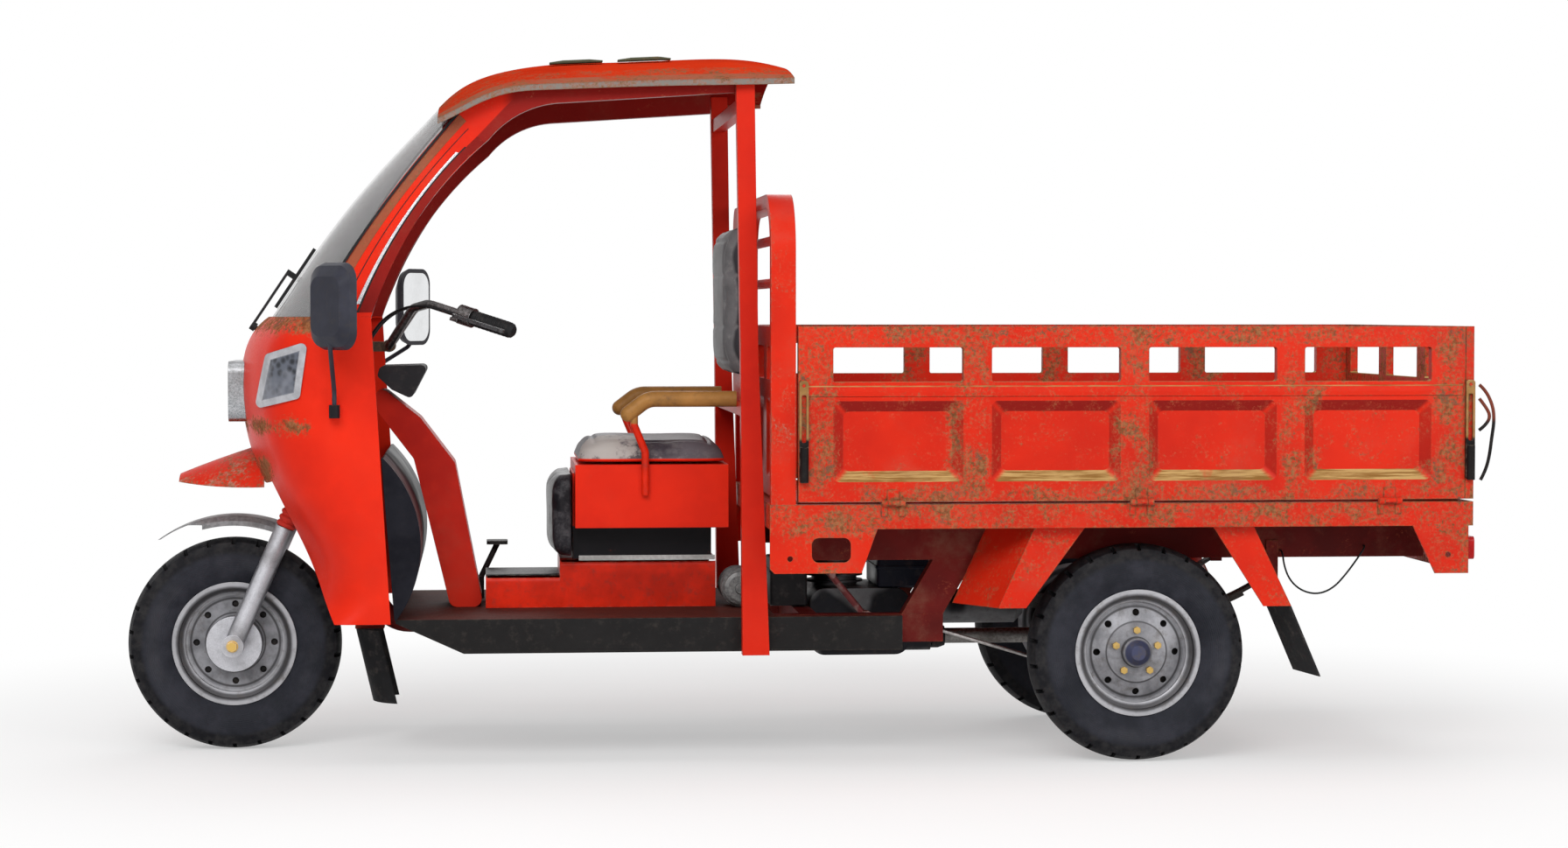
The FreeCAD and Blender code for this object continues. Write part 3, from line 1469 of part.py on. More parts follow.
def armrest():
    # Padded tube from the hoop, bent down at its front, with one strut from the seat box.
    tip = vec(armrest_tip_x, armrest_y, armrest_tip_z)
    way = pipe([vec(back_rear_x + hoop_tube_depth, armrest_y, armrest_z),
                vec(armrest_bend_x, armrest_y, armrest_z), tip], armrest_radius, armrest_bend)
    arm = fused([way, Part.makeSphere(armrest_radius, tip)])
    foot_y = seat_box_half_width + armrest_tube_radius + seat_gap
    knee_z = (seat_top_z + seat_bottom_z) / 2
    head_x = armrest_foot_x + armrest_strut_run
    points = [vec(armrest_foot_x, foot_y, armrest_foot_z), vec(armrest_foot_x, foot_y, knee_z),
              vec(head_x, armrest_y, armrest_tip_z - armrest_strut_run), vec(head_x, armrest_y, armrest_z)]
    strut = pipe(points, armrest_tube_radius, armrest_strut_bend)
    return [arm, lowest(strut.cut(arm))]


# Mirrors and wiper

def mirror_outline(depth, scale):
    half = mirror_head_width / 2 * scale
    tall = mirror_head_height / 2 * scale
    points = [vec(depth, -half, -tall), vec(depth, half, -tall), vec(depth, half, tall),
              vec(depth, -half, tall)]
    return Part.Wire(rounded_edges(points, mirror_head_rounding * scale, True))


def mirror(side, head_x, turn):
    # Rod arm with a domed housing; the glass faces the rear and the driver.
    dome = Part.makeLoft([mirror_outline(0, 1), mirror_outline(mirror_head_depth / 2,
                                                               mirror_dome_shares[0]),
                          mirror_outline(mirror_head_depth, mirror_dome_shares[1])], True, True)
    pane_scale = 1 - 2 * mirror_glass_inset / mirror_head_width
    pane = Part.Face(mirror_outline(0, pane_scale)).extrude(vec(mirror_glass_sheet, 0, 0))
    housing = dome.cut(pane)
    housing.rotate(vec(0, 0, 0), vec(0, 0, 1), turn)
    pane.rotate(vec(0, 0, 0), vec(0, 0, 1), turn)
    bounds = housing.optimalBoundingBox(False, False)
    outward = bounds.YMax if side > 0 else -bounds.YMin
    head = vec(head_x, side * (mirror_reach - outward), mirror_head_z)
    housing.translate(head)
    pane.translate(head)
    way = vec(math.cos(math.radians(turn)), math.sin(math.radians(turn)), 0) * (mirror_head_depth / 2)
    base_y = side * (cab_half_width + mirror_boss_out)
    base = vec(mirror_boss_x, base_y, mirror_boss_z + mirror_boss_radius / 2 + seat_gap)
    knee = vec(mirror_boss_x, base_y, mirror_boss_z + mirror_boss_height * 2)
    neck = head + way - vec(0, 0, mirror_head_height / 2)
    arm = pipe([base, knee, neck, head + way], mirror_arm_radius, mirror_boss_radius * 2)
    return Part.makeCompound([fused([housing, arm]), pane])


def wiper():
    rise, outward, pivot = wiper_frame()
    across = vec(0, 1, 0)
    spindle = cylinder(pivot - outward * overrun, pivot + outward * wiper_lift, wiper_spindle_radius)
    top = pivot + outward * (wiper_lift + wiper_boss_height)
    boss = cylinder(pivot + outward * wiper_lift, top, wiper_boss_radius)

    def bar(start, end, low, high, width):
        corner = pivot + rise * start + outward * low - across * (width / 2)
        points = [corner, corner + rise * (end - start), corner + rise * (end - start) + across * width,
                  corner + across * width]
        return polygon_prism(points, outward * (high - low))

    arm = bar(0, wiper_arm_length, wiper_lift + wiper_boss_height / 2, wiper_lift + wiper_boss_height,
              wiper_arm_width)
    blade_low = wiper_blade_gap - wiper_set
    blade = bar(wiper_tip - wiper_blade_length, wiper_tip, blade_low, blade_low + wiper_blade_height,
                wiper_blade_width)
    link = bar(wiper_arm_length - wiper_link_length, wiper_arm_length, blade_low,
               wiper_lift + wiper_boss_height, wiper_blade_width)
    return fused([spindle, boss, arm, blade, link])


# Chassis frame

def spring_mid_z():
    # Middle of the main leaf where the axle clamps the spring.
    return axle_z + axle_tube_radius + spring_pad_height + seat_gap + leaf_sheet * (leaf_count - 1 / 2)


def spring_eye(end):
    return vec(rear_axle_x + end * spring_half_span, rail_y, spring_eye_z)


def spring_hanger(end):
    # Two cheeks beside the rail with the pin that carries the spring's eye.
    eye = spring_eye(end)
    inner = spring_width / 2 + seat_gap
    cheek = box(eye.x - spring_eye_radius, eye.x + spring_eye_radius, rail_y + inner,
                rail_y + inner + bracket_sheet, eye.z - spring_eye_radius,
                bed_rail_low_z + cross_member_size)
    other = box(eye.x - spring_eye_radius, eye.x + spring_eye_radius, rail_y - inner - bracket_sheet,
                rail_y - inner, eye.z - spring_eye_radius, bed_rail_low_z + cross_member_size)
    reach = vec(0, inner + bracket_sheet, 0)
    return fused([cheek, other, cylinder(eye - reach, eye + reach, spring_pin_radius)])


def side_rails():
    # Beam under the bed, sloped strut and rail under the cab, on the left side.
    near = rail_y - rail_width / 2
    far = rail_y + rail_width / 2
    beam = box(rail_rear_x, bed_rail_front_x, near, far, bed_rail_low_z, base_low_z)
    strut = side_prism([(strut_top_x - strut_half_length, bed_rail_low_z),
                        (strut_top_x + strut_half_length, bed_rail_low_z),
                        (strut_low_x + strut_half_length, cab_rail_top_z),
                        (strut_low_x - strut_half_length, cab_rail_top_z)], near, far)
    rail = box(strut_low_x - strut_half_length, rail_front_x, near, far, cab_rail_low_z, cab_rail_top_z)
    hangers = [spring_hanger(end).cut(beam) for end in (1, -1)]
    return [beam, strut, rail] + hangers


def cross_members():
    size = cross_member_size
    half = rail_y - rail_width / 2
    members = []
    for share in cross_member_shares:
        x = rail_rear_x + share * (strut_top_x - rail_rear_x)
        members.append(box(x - size / 2, x + size / 2, -half, half, bed_rail_low_z, bed_rail_low_z + size))
    for x in (rail_front_x - size, engine_front_x):
        members.append(box(x, x + size, -half, half, cab_rail_low_z, cab_rail_top_z))
    return members


def chassis_frame():
    pieces = []
    for piece in side_rails():
        pieces += both_sides(piece)
    pieces += cross_members()
    low, high = head_tube_ends()
    seat = stem_radius + bearing_wall
    tube = ring(low, high, seat + head_tube_wall, seat)
    reach = steer_axis * overrun
    spine = pipe([vec(rail_front_x, 0, spine_low_z), vec(spine_foot_x, 0, spine_low_z),
                  vec(spine_knee_x, 0, spine_knee_z), (low + high) / 2], spine_radius, spine_bend)
    bracket = box(spine_foot_x, front_flap_top_x, -flap_bracket_half_width, flap_bracket_half_width,
                  front_flap_top_z, front_flap_top_z + flap_bracket_sheet)
    spine = fused([spine, bracket]).cut(cylinder(low - reach, high + reach, seat + head_tube_wall))
    return Part.makeCompound(pieces + [largest(spine), tube] + steering_bearings().Solids)


def spring_radius():
    sag = spring_eye_z - spring_mid_z()
    return (spring_half_span ** 2 + sag ** 2) / (2 * sag)


def leaf(index):
    # One bent strip; the strips share a centre above the axle.
    radius = spring_radius()
    centre_z = spring_mid_z() + radius
    half_angle = math.asin(spring_half_span / radius) * leaf_length_shares[index]
    inner = radius + leaf_sheet * (index - 1 / 2)
    outer = inner + leaf_sheet
    y = rail_y - spring_width / 2

    def spot(distance, angle):
        return vec(rear_axle_x + distance * math.sin(angle), y, centre_z - distance * math.cos(angle))

    wire = Part.Wire([
        Part.Arc(spot(outer, -half_angle), spot(outer, 0), spot(outer, half_angle)).toShape(),
        Part.LineSegment(spot(outer, half_angle), spot(inner, half_angle)).toShape(),
        Part.Arc(spot(inner, half_angle), spot(inner, 0), spot(inner, -half_angle)).toShape(),
        Part.LineSegment(spot(inner, -half_angle), spot(outer, -half_angle)).toShape(),
    ])
    return Part.Face(wire).extrude(vec(0, spring_width, 0))


def leaf_springs():
    half = vec(0, spring_width / 2, 0)
    main = leaf(0)
    for end in (1, -1):
        main = main.fuse(cylinder(spring_eye(end) - half, spring_eye(end) + half, spring_eye_radius))
    for end in (1, -1):
        main = main.cut(cylinder(spring_eye(end) - half, spring_eye(end) + half,
                                 spring_pin_radius + running_fit))
    leaves = [main.removeSplitter()] + [leaf(index) for index in range(1, leaf_count)]
    return Part.makeCompound(leaves + [mirrored(strip) for strip in leaves])


# Rear axle and drive

def spring_clamp():
    # Pad under the spring, plate over it and four bolts.
    pad_low = axle_z + axle_tube_radius / 2
    pad_top = axle_z + axle_tube_radius + spring_pad_height
    leaf_rise = spring_radius() - math.sqrt(spring_radius() ** 2 - spring_pad_half ** 2)
    plate_low = spring_mid_z() + leaf_sheet / 2 + leaf_rise + seat_gap
    plate_top = plate_low + bracket_sheet
    half_y = spring_width / 2 + spring_pin_radius * 2
    pieces = []
    for low, top in ((pad_low, pad_top), (plate_low, plate_top)):
        pieces.append(box(rear_axle_x - spring_pad_half, rear_axle_x + spring_pad_half, rail_y - half_y,
                          rail_y + half_y, low, top))
    bolt_x = spring_pad_half - spring_pin_radius * 2
    bolt_y = half_y - spring_pin_radius
    for x in (-bolt_x, bolt_x):
        for y in (-bolt_y, bolt_y):
            foot = vec(rear_axle_x + x, rail_y + y, pad_low)
            pieces.append(cylinder(foot, vec(foot.x, foot.y, plate_top + spring_pin_radius),
                                   spring_pin_radius * hub_neck_share))
    return fused(pieces)


def rear_axle():
    centre = vec(rear_axle_x, 0, axle_z)
    plate_outer = rear_wheel_y + disc_set - drum_length - backplate_gap
    spindle = rear_wheel_y + disc_set
    bowl = diff_radius * hub_neck_share
    housing = revolved([(-plate_outer, 0), (-plate_outer, axle_tube_radius),
                        (-diff_half_width * 2, axle_tube_radius), (-diff_half_width, bowl),
                        (-diff_half_width / 2, diff_radius), (diff_half_width / 2, diff_radius),
                        (diff_half_width, bowl), (diff_half_width * 2, axle_tube_radius),
                        (plate_outer, axle_tube_radius), (plate_outer, 0)], centre, vec(0, 1, 0))
    pieces = [housing, cylinder(centre - vec(0, spindle, 0), centre + vec(0, spindle, 0),
                                rear_spindle_radius)]
    plate = cylinder(centre + vec(0, plate_outer - backplate_sheet, 0), centre + vec(0, plate_outer, 0),
                     backplate_radius)
    pieces += both_sides(plate)
    pieces += both_sides(spring_clamp())
    nose = centre + vec(diff_nose_length, 0, 0)
    pieces.append(cylinder(centre, nose, diff_nose_radius))
    socket = cylinder(nose - vec(shaft_ball_radius * 2, 0, 0), nose + vec(overrun, 0, 0),
                      shaft_ball_radius + socket_play)
    return fused(pieces).cut(socket)


def shaft_rear():
    return vec(rear_axle_x + diff_nose_length - shaft_ball_radius, 0, axle_z)


def propshaft():
    # Tubular shaft with a ball at each end, one in the gearbox socket and one in the axle's nose.
    front = vec(shaft_front_x, 0, axle_z)
    return fused([cylinder(front, shaft_rear(), shaft_radius), Part.makeSphere(shaft_ball_radius, front),
                  Part.makeSphere(shaft_ball_radius, shaft_rear())])


def propshaft_boot():
    # Rubber collar that keeps dirt out of the front socket.
    start = shaft_front_x - shaft_ball_radius - socket_play * 2
    return revolved([(start, shaft_radius + running_fit), (start, shaft_radius + boot_wall),
                     (start - boot_length / 2, shaft_radius + boot_wall),
                     (start - boot_length, shaft_radius + boot_wall / 2),
                     (start - boot_length, shaft_radius + running_fit)], vec(0, 0, axle_z), vec(1, 0, 0))


def crankcase():
    case = side_prism([(engine_rear_x, engine_low_z), (engine_front_x, engine_low_z),
                       (engine_front_x, engine_top_z), (engine_rear_x, engine_top_z)], -engine_half_width,
                      engine_half_width, engine_rounding)
    foot = vec(cylinder_x, 0, engine_top_z - fin_sheet)
    pieces = [case, cylinder(foot, foot + vec(0, 0, cylinder_height), cylinder_radius)]
    pitch = cylinder_height / (fin_count + 1)
    for fin in range(fin_count):
        z = engine_top_z + pitch * (fin + 1 / 2)
        pieces.append(cylinder(vec(cylinder_x, 0, z), vec(cylinder_x, 0, z + fin_sheet),
                               cylinder_radius + fin_proud))
    end = shaft_front_x - shaft_ball_radius
    pieces.append(cylinder(vec(engine_rear_x + engine_rounding, 0, axle_z), vec(end, 0, axle_z),
                           shaft_ball_radius + socket_wall))
    pieces.append(cylinder(vec(kick_pivot_x, 0, kick_pivot_z),
                           vec(kick_pivot_x, kick_y + kick_boss_radius, kick_pivot_z), kick_pin_radius))
    socket = cylinder(vec(shaft_front_x + shaft_ball_radius + socket_play, 0, axle_z),
                      vec(end - overrun, 0, axle_z), shaft_ball_radius + seat_gap)
    return fused(pieces).cut(socket)


def exhaust():
    outlet = vec(cylinder_x, -engine_half_width, exhaust_outlet_z)
    turn = vec(cylinder_x, muffler_y, exhaust_outlet_z)
    drop = vec(cylinder_x - exhaust_bend * 3, muffler_y, muffler_z)
    pipe_way = pipe([outlet, turn, drop, vec(muffler_front_x, muffler_y, muffler_z)], exhaust_pipe_radius,
                    exhaust_bend)
    can = revolved([(muffler_front_x, 0), (muffler_front_x, exhaust_pipe_radius),
                    (muffler_front_x - muffler_radius, muffler_radius),
                    (muffler_rear_x + muffler_radius / 2, muffler_radius),
                    (muffler_rear_x, muffler_radius / 2), (muffler_rear_x, 0)],
                   vec(0, muffler_y, muffler_z), vec(1, 0, 0))
    return fused([pipe_way, can])


def engine():
    return Part.makeCompound([crankcase(), exhaust()])


def kick_lever():
    pivot = vec(kick_pivot_x, kick_y, kick_pivot_z)
    top = vec(kick_top_x, kick_y, kick_top_z)
    half = vec(0, kick_boss_radius, 0)
    boss = cylinder(pivot - half, pivot + half, kick_boss_radius)
    bore = cylinder(pivot - half, pivot + half, kick_pin_radius + running_fit)
    arm = cylinder(pivot, top, kick_radius)
    peg = cylinder(top - vec(0, kick_radius, 0), top + vec(0, kick_peg_length, 0), kick_radius)
    return fused([boss, arm, peg]).cut(bore)


# Cargo bed

def hinge_centres(start, end, shares):
    return [start + share * (end - start) for share in shares]


def moving_knuckle(centre, along, up, out):
    # Gate's half of a hinge: a bored barrel and a leaf on the gate's outer face.
    half = along * (hinge_length / 2)
    barrel = cylinder(centre - half, centre + half, hinge_radius)
    bore = cylinder(centre - half, centre + half, hinge_pin_radius + running_fit)
    return [barrel.cut(bore), hinge_plate(centre, along * hinge_length, up, out).cut(bore)]


def hinge_plate(centre, length, up, out):
    distance = abs(out.x + out.y)
    away = out / distance
    corner = centre - length / 2 - out
    points = [corner, corner + length, corner + length + up * hinge_leaf_height,
              corner + up * hinge_leaf_height]
    return polygon_prism(points, away * (distance - hinge_radius + hinge_leaf))


def fixed_knuckles(centre, along, up, out):
    # Bed's half of a hinge: the pin and a barrel at each end of the gate's barrel.
    half = hinge_length / 2 + hinge_gap
    pieces = []
    for way in (1, -1):
        near = centre + along * (way * half)
        far = centre + along * (way * (half + hinge_length / 2))
        pieces += [cylinder(near, far, hinge_radius), hinge_plate((near + far) / 2,
                                                                  along * (hinge_length / 2), up, out)]
    reach = along * (half + hinge_length / 2)
    return pieces + [cylinder(centre - reach, centre + reach, hinge_pin_radius)]


def gate_hinge_points():
    return [vec(x, gate_hinge_y, hinge_z) for x in hinge_centres(gate_front_x, gate_rear_x,
                                                                 gate_hinge_shares)]


def tail_hinge_points():
    return [vec(tail_hinge_x, y, hinge_z) for y in hinge_centres(-bed_half_width, bed_half_width,
                                                                 tail_hinge_shares)]


def tail_out():
    return vec(tail_hinge_x - tail_outer_x, 0, 0)


def side_apron():
    front = [vec(bed_front_x, 0, base_low_z), vec(bed_front_x, 0, front_apron_low_z + front_apron_corner),
             vec(bed_front_x - front_apron_corner, 0, front_apron_low_z),
             vec(front_apron_low_rear_x, 0, front_apron_low_z), vec(front_apron_top_rear_x, 0, base_low_z)]
    rear = [vec(rear_apron_top_x, 0, base_low_z), vec(rear_apron_low_x, 0, rear_apron_low_z),
            vec(rear_apron_rear_x, 0, rear_apron_low_z), vec(rear_apron_rear_x, 0, base_low_z)]
    depth = vec(0, apron_sheet, 0)
    low_x = apron_hole_x - apron_hole_half
    high_x = apron_hole_x + apron_hole_half
    hand_hole = outline_prism([vec(low_x, 0, apron_hole_low_z), vec(high_x, 0, apron_hole_low_z),
                               vec(high_x, 0, apron_hole_top_z), vec(low_x, 0, apron_hole_top_z)],
                              apron_hole_rounding, depth)
    tie_holes = [cylinder(vec(x, 0, tie_hole_z), vec(x, apron_sheet, tie_hole_z), tie_hole_radius)
                 for x in (front_tie_hole_x, rear_tie_hole_x)]
    plates = [polygon_prism(front, depth).cut(hand_hole).cut(tie_holes[0]),
              polygon_prism(rear, depth).cut(tie_holes[1])]
    for plate in plates:
        plate.translate(vec(0, bed_half_width - apron_sheet, 0))
    return plates


def bed_floor():
    # Base frame, deck, cross bearers, aprons and the fixed halves of the hinges.
    frame = box(tail_outer_x, bed_front_x, -bed_half_width, bed_half_width, base_low_z, base_top_z)
    hollow = box(tail_outer_x + base_width, bed_front_x - base_width, base_width - bed_half_width,
                 bed_half_width - base_width, base_low_z - overrun, base_top_z - deck_sheet)
    pieces = [frame.cut(hollow)]
    inner_half = bed_half_width - base_width
    pitch = (bed_front_x - tail_outer_x) / (bearer_count + 1)
    for index in range(bearer_count):
        x = tail_outer_x + pitch * (index + 1)
        pieces.append(box(x - bearer_width / 2, x + bearer_width / 2, -inner_half, inner_half, base_low_z,
                          base_top_z - deck_sheet))
    pieces.append(box(rear_apron_rear_x, rear_apron_rear_x + valance_sheet, -bed_half_width, bed_half_width,
                      rear_apron_low_z, base_low_z))
    deck_half = bed_half_width - gate_thick - deck_margin
    pieces.append(box(gate_rear_x + deck_margin, headboard_rear_x - deck_margin, -deck_half, deck_half,
                      base_top_z, base_top_z + deck_pad_sheet))
    for plate in side_apron():
        pieces += both_sides(plate)
    down = vec(0, 0, -1)
    for centre in gate_hinge_points():
        for piece in fixed_knuckles(centre, vec(1, 0, 0), down, vec(0, hinge_out, 0)):
            pieces += both_sides(piece)
    for centre in tail_hinge_points():
        pieces += fixed_knuckles(centre, vec(0, 1, 0), down, tail_out())
    return fused(pieces)


def panel_columns(start, end, count, margin):
    width = (end - start - margin * 2 - panel_gap * (count - 1)) / count
    starts = [start + margin + index * (width + panel_gap) for index in range(count)]
    return [(left, left + width) for left in starts]


def drop_panel(length, thick, count, margin):
    # Flat gate along local X with its outer face at Y = 0: windows above, sloped pressings below.
    panel = box(0, length, -thick, 0, gate_low_z, gate_top_z)
    cuts = []
    for start, end in panel_columns(0, length, count, margin):
        window = [vec(start, -thick - overrun, window_low_z), vec(end, -thick - overrun, window_low_z),
                  vec(end, -thick - overrun, window_top_z), vec(start, -thick - overrun, window_top_z)]
        cuts.append(outline_prism(window, window_rounding, vec(0, thick + overrun * 2, 0)))
        mouth = []
        for inset, y in ((0, 0), (pressing_slope, -pressing_depth)):
            corners = [vec(start + inset, y, pressing_low_z + inset),
                       vec(end - inset, y, pressing_low_z + inset),
                       vec(end - inset, y, pressing_top_z - inset),
                       vec(start + inset, y, pressing_top_z - inset)]
            mouth.append(Part.Wire(rounded_edges(corners, pressing_rounding, True)))
        cuts.append(Part.makeLoft(mouth, True, True))
    return panel.cut(Part.makeCompound(cuts))


def latch_pin(centre):
    return cylinder(centre, centre + vec(0, latch_gap + latch_sheet, 0), latch_pin_radius)


def gate_latch_centre():
    return vec(front_latch_x, bed_half_width, latch_top_z - latch_width / 2)


def tail_latch_centre():
    return vec(tail_outer_x + tailgate_thick / 2, bed_half_width, latch_top_z - latch_width / 2)


def gate_left():
    panel = drop_panel(gate_front_x - gate_rear_x, gate_thick, gate_panel_count, panel_end)
    panel.translate(vec(gate_rear_x, bed_half_width, 0))
    pieces = [panel]
    for centre in gate_hinge_points():
        pieces += moving_knuckle(centre, vec(1, 0, 0), vec(0, 0, 1), vec(0, hinge_out, 0))
    return fused(pieces + [latch_pin(gate_latch_centre())])


def tailgate():
    panel = drop_panel(bed_half_width * 2, tailgate_thick, tail_panel_count, tail_panel_end)
    panel.rotate(vec(0, 0, 0), vec(0, 0, 1), 90)
    panel.translate(vec(tail_outer_x, -bed_half_width, 0))
    pieces = [panel]
    for centre in tail_hinge_points():
        pieces += moving_knuckle(centre, vec(0, 1, 0), vec(0, 0, 1), tail_out())
    pin = latch_pin(tail_latch_centre())
    return fused(pieces + both_sides(pin))


def latch(centre):
    # Hanging loop with a round grip below; it turns on a pin in the gate.
    y = centre.y + latch_gap
    half = latch_width / 2
    outline = [vec(centre.x - half, y, latch_low_z), vec(centre.x + half, y, latch_low_z),
               vec(centre.x + half, y, latch_top_z), vec(centre.x - half, y, latch_top_z)]
    plate = outline_prism(outline, half * hub_neck_share, vec(0, latch_sheet, 0))
    slot_half = half - latch_rim
    slot_low = latch_low_z + latch_grip_length + half
    slot_top = centre.z - latch_width
    slot = outline_prism([vec(centre.x - slot_half, y, slot_low), vec(centre.x + slot_half, y, slot_low),
                          vec(centre.x + slot_half, y, slot_top), vec(centre.x - slot_half, y, slot_top)],
                         slot_half * hub_neck_share, vec(0, latch_sheet, 0))
    grip_low = vec(centre.x, y + latch_grip_radius, latch_low_z)
    grip = cylinder(grip_low, grip_low + vec(0, 0, latch_grip_length), latch_grip_radius)
    bore = cylinder(centre, centre + vec(0, overrun, 0), latch_pin_radius + running_fit)
    return fused([plate, grip]).cut(bore).cut(slot)


def headboard():
    # Arched frame with a pressed lower panel and two cross rails.
    depth = headboard_front_x - headboard_rear_x

    def arch(inset):
        y = bed_half_width - inset
        low = base_top_z - headboard_corner * 2
        top = headboard_top_z - inset
        points = [vec(headboard_rear_x, -y, low), vec(headboard_rear_x, y, low),
                  vec(headboard_rear_x, y, top), vec(headboard_rear_x, -y, top)]
        return outline_prism(points, headboard_corner - inset, vec(depth, 0, 0))

    frame = arch(0).cut(arch(headboard_tube))
    frame = frame.common(box(headboard_rear_x, headboard_front_x, -bed_half_width, bed_half_width,
                             base_top_z, headboard_top_z))
    inner = bed_half_width - headboard_tube
    panel = drop_panel(inner * 2, headboard_panel_sheet + pressing_depth / 2, tail_panel_count,
                       tail_panel_end)
    panel.rotate(vec(0, 0, 0), vec(0, 0, 1), -90)
    middle = (headboard_front_x + headboard_rear_x) / 2
    panel.translate(vec(middle + headboard_panel_sheet / 2, inner, 0))
    pieces = [frame, panel]
    for share in headboard_rail_shares:
        z = gate_top_z + share * (headboard_top_z - gate_top_z)
        pieces.append(cylinder(vec(middle, -inner, z), vec(middle, inner, z), headboard_rail_radius))
    return fused(pieces)


def guard_plate(way, top_near, top_far, low_near, low_far, splay):
    # Flat plate beside the tyre, with a sloped sheet that runs inward from its far edge.
    def place(distance):
        return rear_axle_x + way * distance

    face_y = mudguard_outer_y - mudguard_sheet
    outer = side_prism([(place(top_near), base_low_z), (place(top_far), base_low_z),
                        (place(low_far), mudguard_low_z), (place(low_near), mudguard_low_z)], face_y,
                       mudguard_outer_y)

    def edge(y, shift):
        near = shift - mudguard_sheet
        points = [vec(place(top_far + shift), y, base_low_z),
                  vec(place(low_far + shift), y, mudguard_low_z),
                  vec(place(low_far + near), y, mudguard_low_z), vec(place(top_far + near), y, base_low_z)]
        return Part.makePolygon(points + points[:1])

    sloped = Part.makeLoft([edge(face_y, 0), edge(mudguard_inner_y, splay)], True, True)
    return fused([outer, sloped])


def rear_mudguards():
    fore = guard_plate(1, guard_fore_top_near, guard_fore_top_far, guard_fore_low_near, guard_fore_low_far,
                       guard_fore_splay)
    aft = guard_plate(-1, guard_aft_top_near, guard_aft_top_far, guard_aft_low_near, guard_aft_low_far, 0)
    return Part.makeCompound(both_sides(fore) + both_sides(aft))


def bowed_wire(x, z):
    # Outline of the front flap at one height, bowed forward at its middle.
    left = vec(x - front_flap_bow, front_flap_half_width, z)
    right = vec(x - front_flap_bow, -front_flap_half_width, z)
    middle = vec(x, 0, z)
    back = vec(-flap_sheet, 0, 0)
    return Part.Wire([Part.Arc(left, middle, right).toShape(),
                      Part.LineSegment(right, right + back).toShape(),
                      Part.Arc(right + back, middle + back, left + back).toShape(),
                      Part.LineSegment(left + back, left).toShape()])


def mud_flaps():
    front = Part.makeLoft([bowed_wire(front_flap_top_x, front_flap_top_z),
                           bowed_wire(front_flap_low_x, front_flap_low_z)], True, True)
    top_x = rear_axle_x - guard_aft_low_far
    low_x = top_x - rear_flap_sweep

    def edge(y, shift):
        points = [vec(top_x + shift, y, mudguard_low_z), vec(top_x + shift + flap_sheet, y, mudguard_low_z),
                  vec(low_x + shift + flap_sheet, y, rear_flap_low_z),
                  vec(low_x + shift, y, rear_flap_low_z)]
        return Part.makePolygon(points + points[:1])

    rear = Part.makeLoft([edge(mudguard_outer_y, 0), edge(mudguard_inner_y, rear_flap_splay)], True, True)
    return Part.makeCompound([front] + both_sides(rear))


def tail_lamps():
    x = rear_apron_rear_x
    z = (base_low_z + rear_apron_low_z) / 2
    points = [vec(x, tail_lamp_y - tail_lamp_half_width, z - tail_lamp_half_height),
              vec(x, tail_lamp_y + tail_lamp_half_width, z - tail_lamp_half_height),
              vec(x, tail_lamp_y + tail_lamp_half_width, z + tail_lamp_half_height),
              vec(x, tail_lamp_y - tail_lamp_half_width, z + tail_lamp_half_height)]
    lamp = outline_prism(points, tail_lamp_rounding, vec(-tail_lamp_depth, 0, 0))
    return Part.makeCompound(both_sides(lamp))


def rear_wire():
    # Slack wire under the bed, from one place on the left rail to another.
    points = [vec(*point) for point in wire_route]
    edges = []
    start = points[0]
    for before, corner, after in zip(points, points[1:], points[2:]):
        half_turn = (math.pi - (before - corner).getAngle(after - corner)) / 2
        shorter = min((before - corner).Length, (after - corner).Length)
        radius = cord_reach_share * shorter / math.tan(half_turn)
        enter, middle, leave = corner_arc(before, corner, after, radius)
        edges += [Part.LineSegment(start, enter).toShape(), Part.Arc(enter, middle, leave).toShape()]
        start = leave
    edges.append(Part.LineSegment(start, points[-1]).toShape())
    path = Part.Wire(edges)
    circle = Part.Wire(Part.makeCircle(wire_diameter / 2, points[0], points[1] - points[0]))
    return path.makePipeShell([circle], True, False)


def mirrored_pair(make):
    return Part.makeCompound([make(1), make(-1)])


front_hub = vec(front_axle_x, 0, axle_z)
left_hub = vec(rear_axle_x, rear_wheel_y, axle_z)
left_rim = rear_rim(left_hub)
left_tyre = tyre(left_hub)
left_gate = gate_left()
left_pillar = cab_pillar()
front_latch = latch(gate_latch_centre())
rear_latch = latch(tail_latch_centre())
left_armrest = armrest()
lever = hand_lever()

